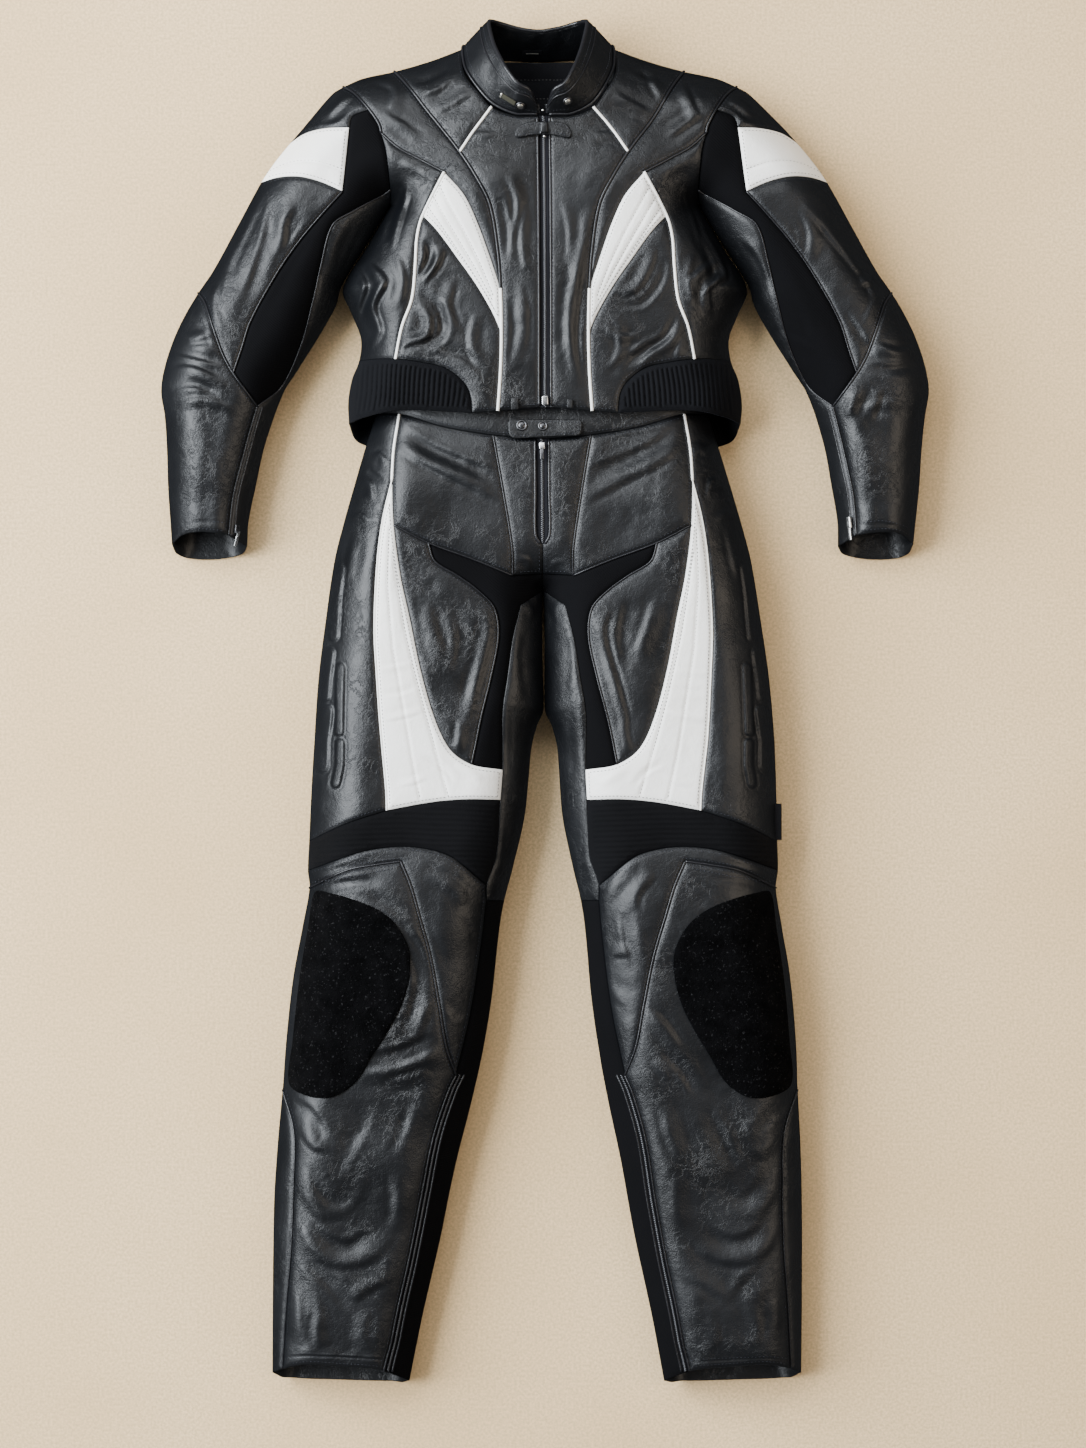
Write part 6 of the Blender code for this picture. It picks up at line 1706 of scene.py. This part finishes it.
JACKET = Plan("jacket", JACKET_JOINS, JACKET_SEAMS, JACKET_LINE, JACKET_SPOTS,
              ("shoulder", "outer_arm", "inner_arm", "flank"), JACKET_FOLDS, 11)
TROUSERS = Plan("trousers", TROUSER_JOINS, TROUSER_SEAMS, TROUSER_LINE, TROUSER_SPOTS,
                ("outseam", "inseam"), TROUSER_FOLDS, 12)
PLANS = {"jacket": JACKET, "trousers": TROUSERS}


def build_knee_sliders():
    """Hook-and-loop pads on the shins, thinner towards their border."""
    for side, word in SIDE_NAMES.items():
        name = f"knee_slider_{word}"
        outline = smooth_loop(TROUSERS.place(SLIDER_OUTLINE, side))
        flat, faces = fill(outline, fine_points(outline, SLIDER_GRID, SLIDER_GRID))
        far = border_distance(outline, flat)
        base = TROUSERS.surface(flat, "up", STYLES[""], np.full(len(flat), MID_PANEL))
        full = SLIDER_BORDER + (1 - SLIDER_BORDER) * (1 - np.exp(-(far / SLIDER_REACH)**2))
        z = base + CLEAR + SLIDER_THICK * full + SLIDER_CURL * ripple(CURL_WAVES, flat)
        outer, normals = np.column_stack([flat, z]), TROUSERS.normal(flat, "up")
        obj = shell(name + "_skin", outer, normals, faces, SLIDER_WALL, MATERIALS["loop_pad"])
        declare(obj, name, outer, faces, [cut_size(flat)])


def smooth_loop(points):
    """A closed smooth line through the points, starting at the first."""
    rows = [tuple(point) for point in points]
    seam = [*rows[-2:], "start", *rows[1:], "end", rows[1]]
    run, places = curve_points(seam, {"start": rows[0], "end": rows[0]})
    return run[places["start"]:places["end"]]


def build_hardware():
    """Snaps, sliders, pulls and loops, and finishes for the solids that are carried over."""
    for node, finish in CARRIED_FINISHES:
        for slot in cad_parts[node].material_slots:
            slot.material = MATERIALS[finish]
    for name, u, v, side, radius in WAIST_SNAPS:
        snap(name, on_form(TROUSERS, u, v, side, lift=WAIST_SNAP_LIFT), radius, "dark_metal")
    for name, plan, u, v, side, heading, lift, size, middle, material, slot, bevel in TRIM:
        matrix = on_form(PLANS[plan], u, v, side, heading, lift)
        beveled_box(name, size, (0, *middle), matrix, material, bevel)
    spot = TROUSERS.place(SIDE_TAG_SPOT, 1)
    height = EDGE_SHARE * TROUSERS.loft(spot)[1][0] + SIDE_TAG_LIFT
    matrix = Matrix.Translation(Vector((*spot[0], height)) * MM)
    beveled_box("side_tag", (10.5, 40.0, 1.3), (0, 0, 0), matrix, "lining", 0.5)


def build_scene():
    """Everything, from the floor to the camera."""
    build_floor()
    threads = {"jacket": Gather(), "trousers": Gather()}
    for node, plan, slot, thickness, patches in SIDE_PANELS:
        for side in SIDE_NAMES:
            build_panel(node, PLANS[plan], slot, thickness, patches, side, threads[plan])
    for node, plan, slot, thickness, patches in CENTRE_PANELS:
        build_panel(node, PLANS[plan], slot, thickness, patches, 0, threads[plan])
    for plan, gather in threads.items():
        gather.make(plan + "_stitches", "thread_black", "leather_black")
    build_zip_tape("front_zip", JACKET, "zip_edge")
    build_zip_tape("fly_zip", TROUSERS, "fly")
    build_tab("collar_tab", JACKET, COLLAR_TAB, 2.6, 1.8)
    build_tab("waist_tab", TROUSERS, WAIST_TAB, 3.6, 2.0)
    build_knee_sliders()
    build_collar_trim(build_collar())
    build_lining()
    build_side_zips()
    build_piping()
    build_sewn_lines()
    build_hardware()
    build_lights()
    build_camera()


def area_light(name, place, target, size, power, colour):
    light = bpy.data.lights.new(name, "AREA")
    light.shape, light.size, light.size_y = "RECTANGLE", size[0], size[1]
    light.energy, light.color = power, colour
    obj = bpy.data.objects.new(name, light)
    obj.location = place
    obj.rotation_euler = (Vector(target) - Vector(place)).to_track_quat("-Z", "Y").to_euler()
    bpy.context.scene.collection.objects.link(obj)


def build_lights():
    """A large window to one side, a warm fill, a light above, and a dim even sky."""
    world = bpy.data.worlds.new("studio")
    world.use_nodes = True
    background = world.node_tree.nodes["Background"]
    background.inputs["Color"].default_value = SKY_COLOUR
    background.inputs["Strength"].default_value = SKY_STRENGTH
    bpy.context.scene.world = world
    for light in LIGHTS:
        area_light(*light)


def build_camera():
    """A camera straight above, looking down."""
    camera = bpy.data.cameras.new("camera")
    camera.lens, camera.sensor_fit, camera.sensor_height = CAMERA_LENS, "VERTICAL", SENSOR_HEIGHT
    obj = bpy.data.objects.new("camera", camera)
    obj.location = CAMERA_PLACE
    bpy.context.scene.collection.objects.link(obj)
    bpy.context.scene.camera = obj


build_scene()
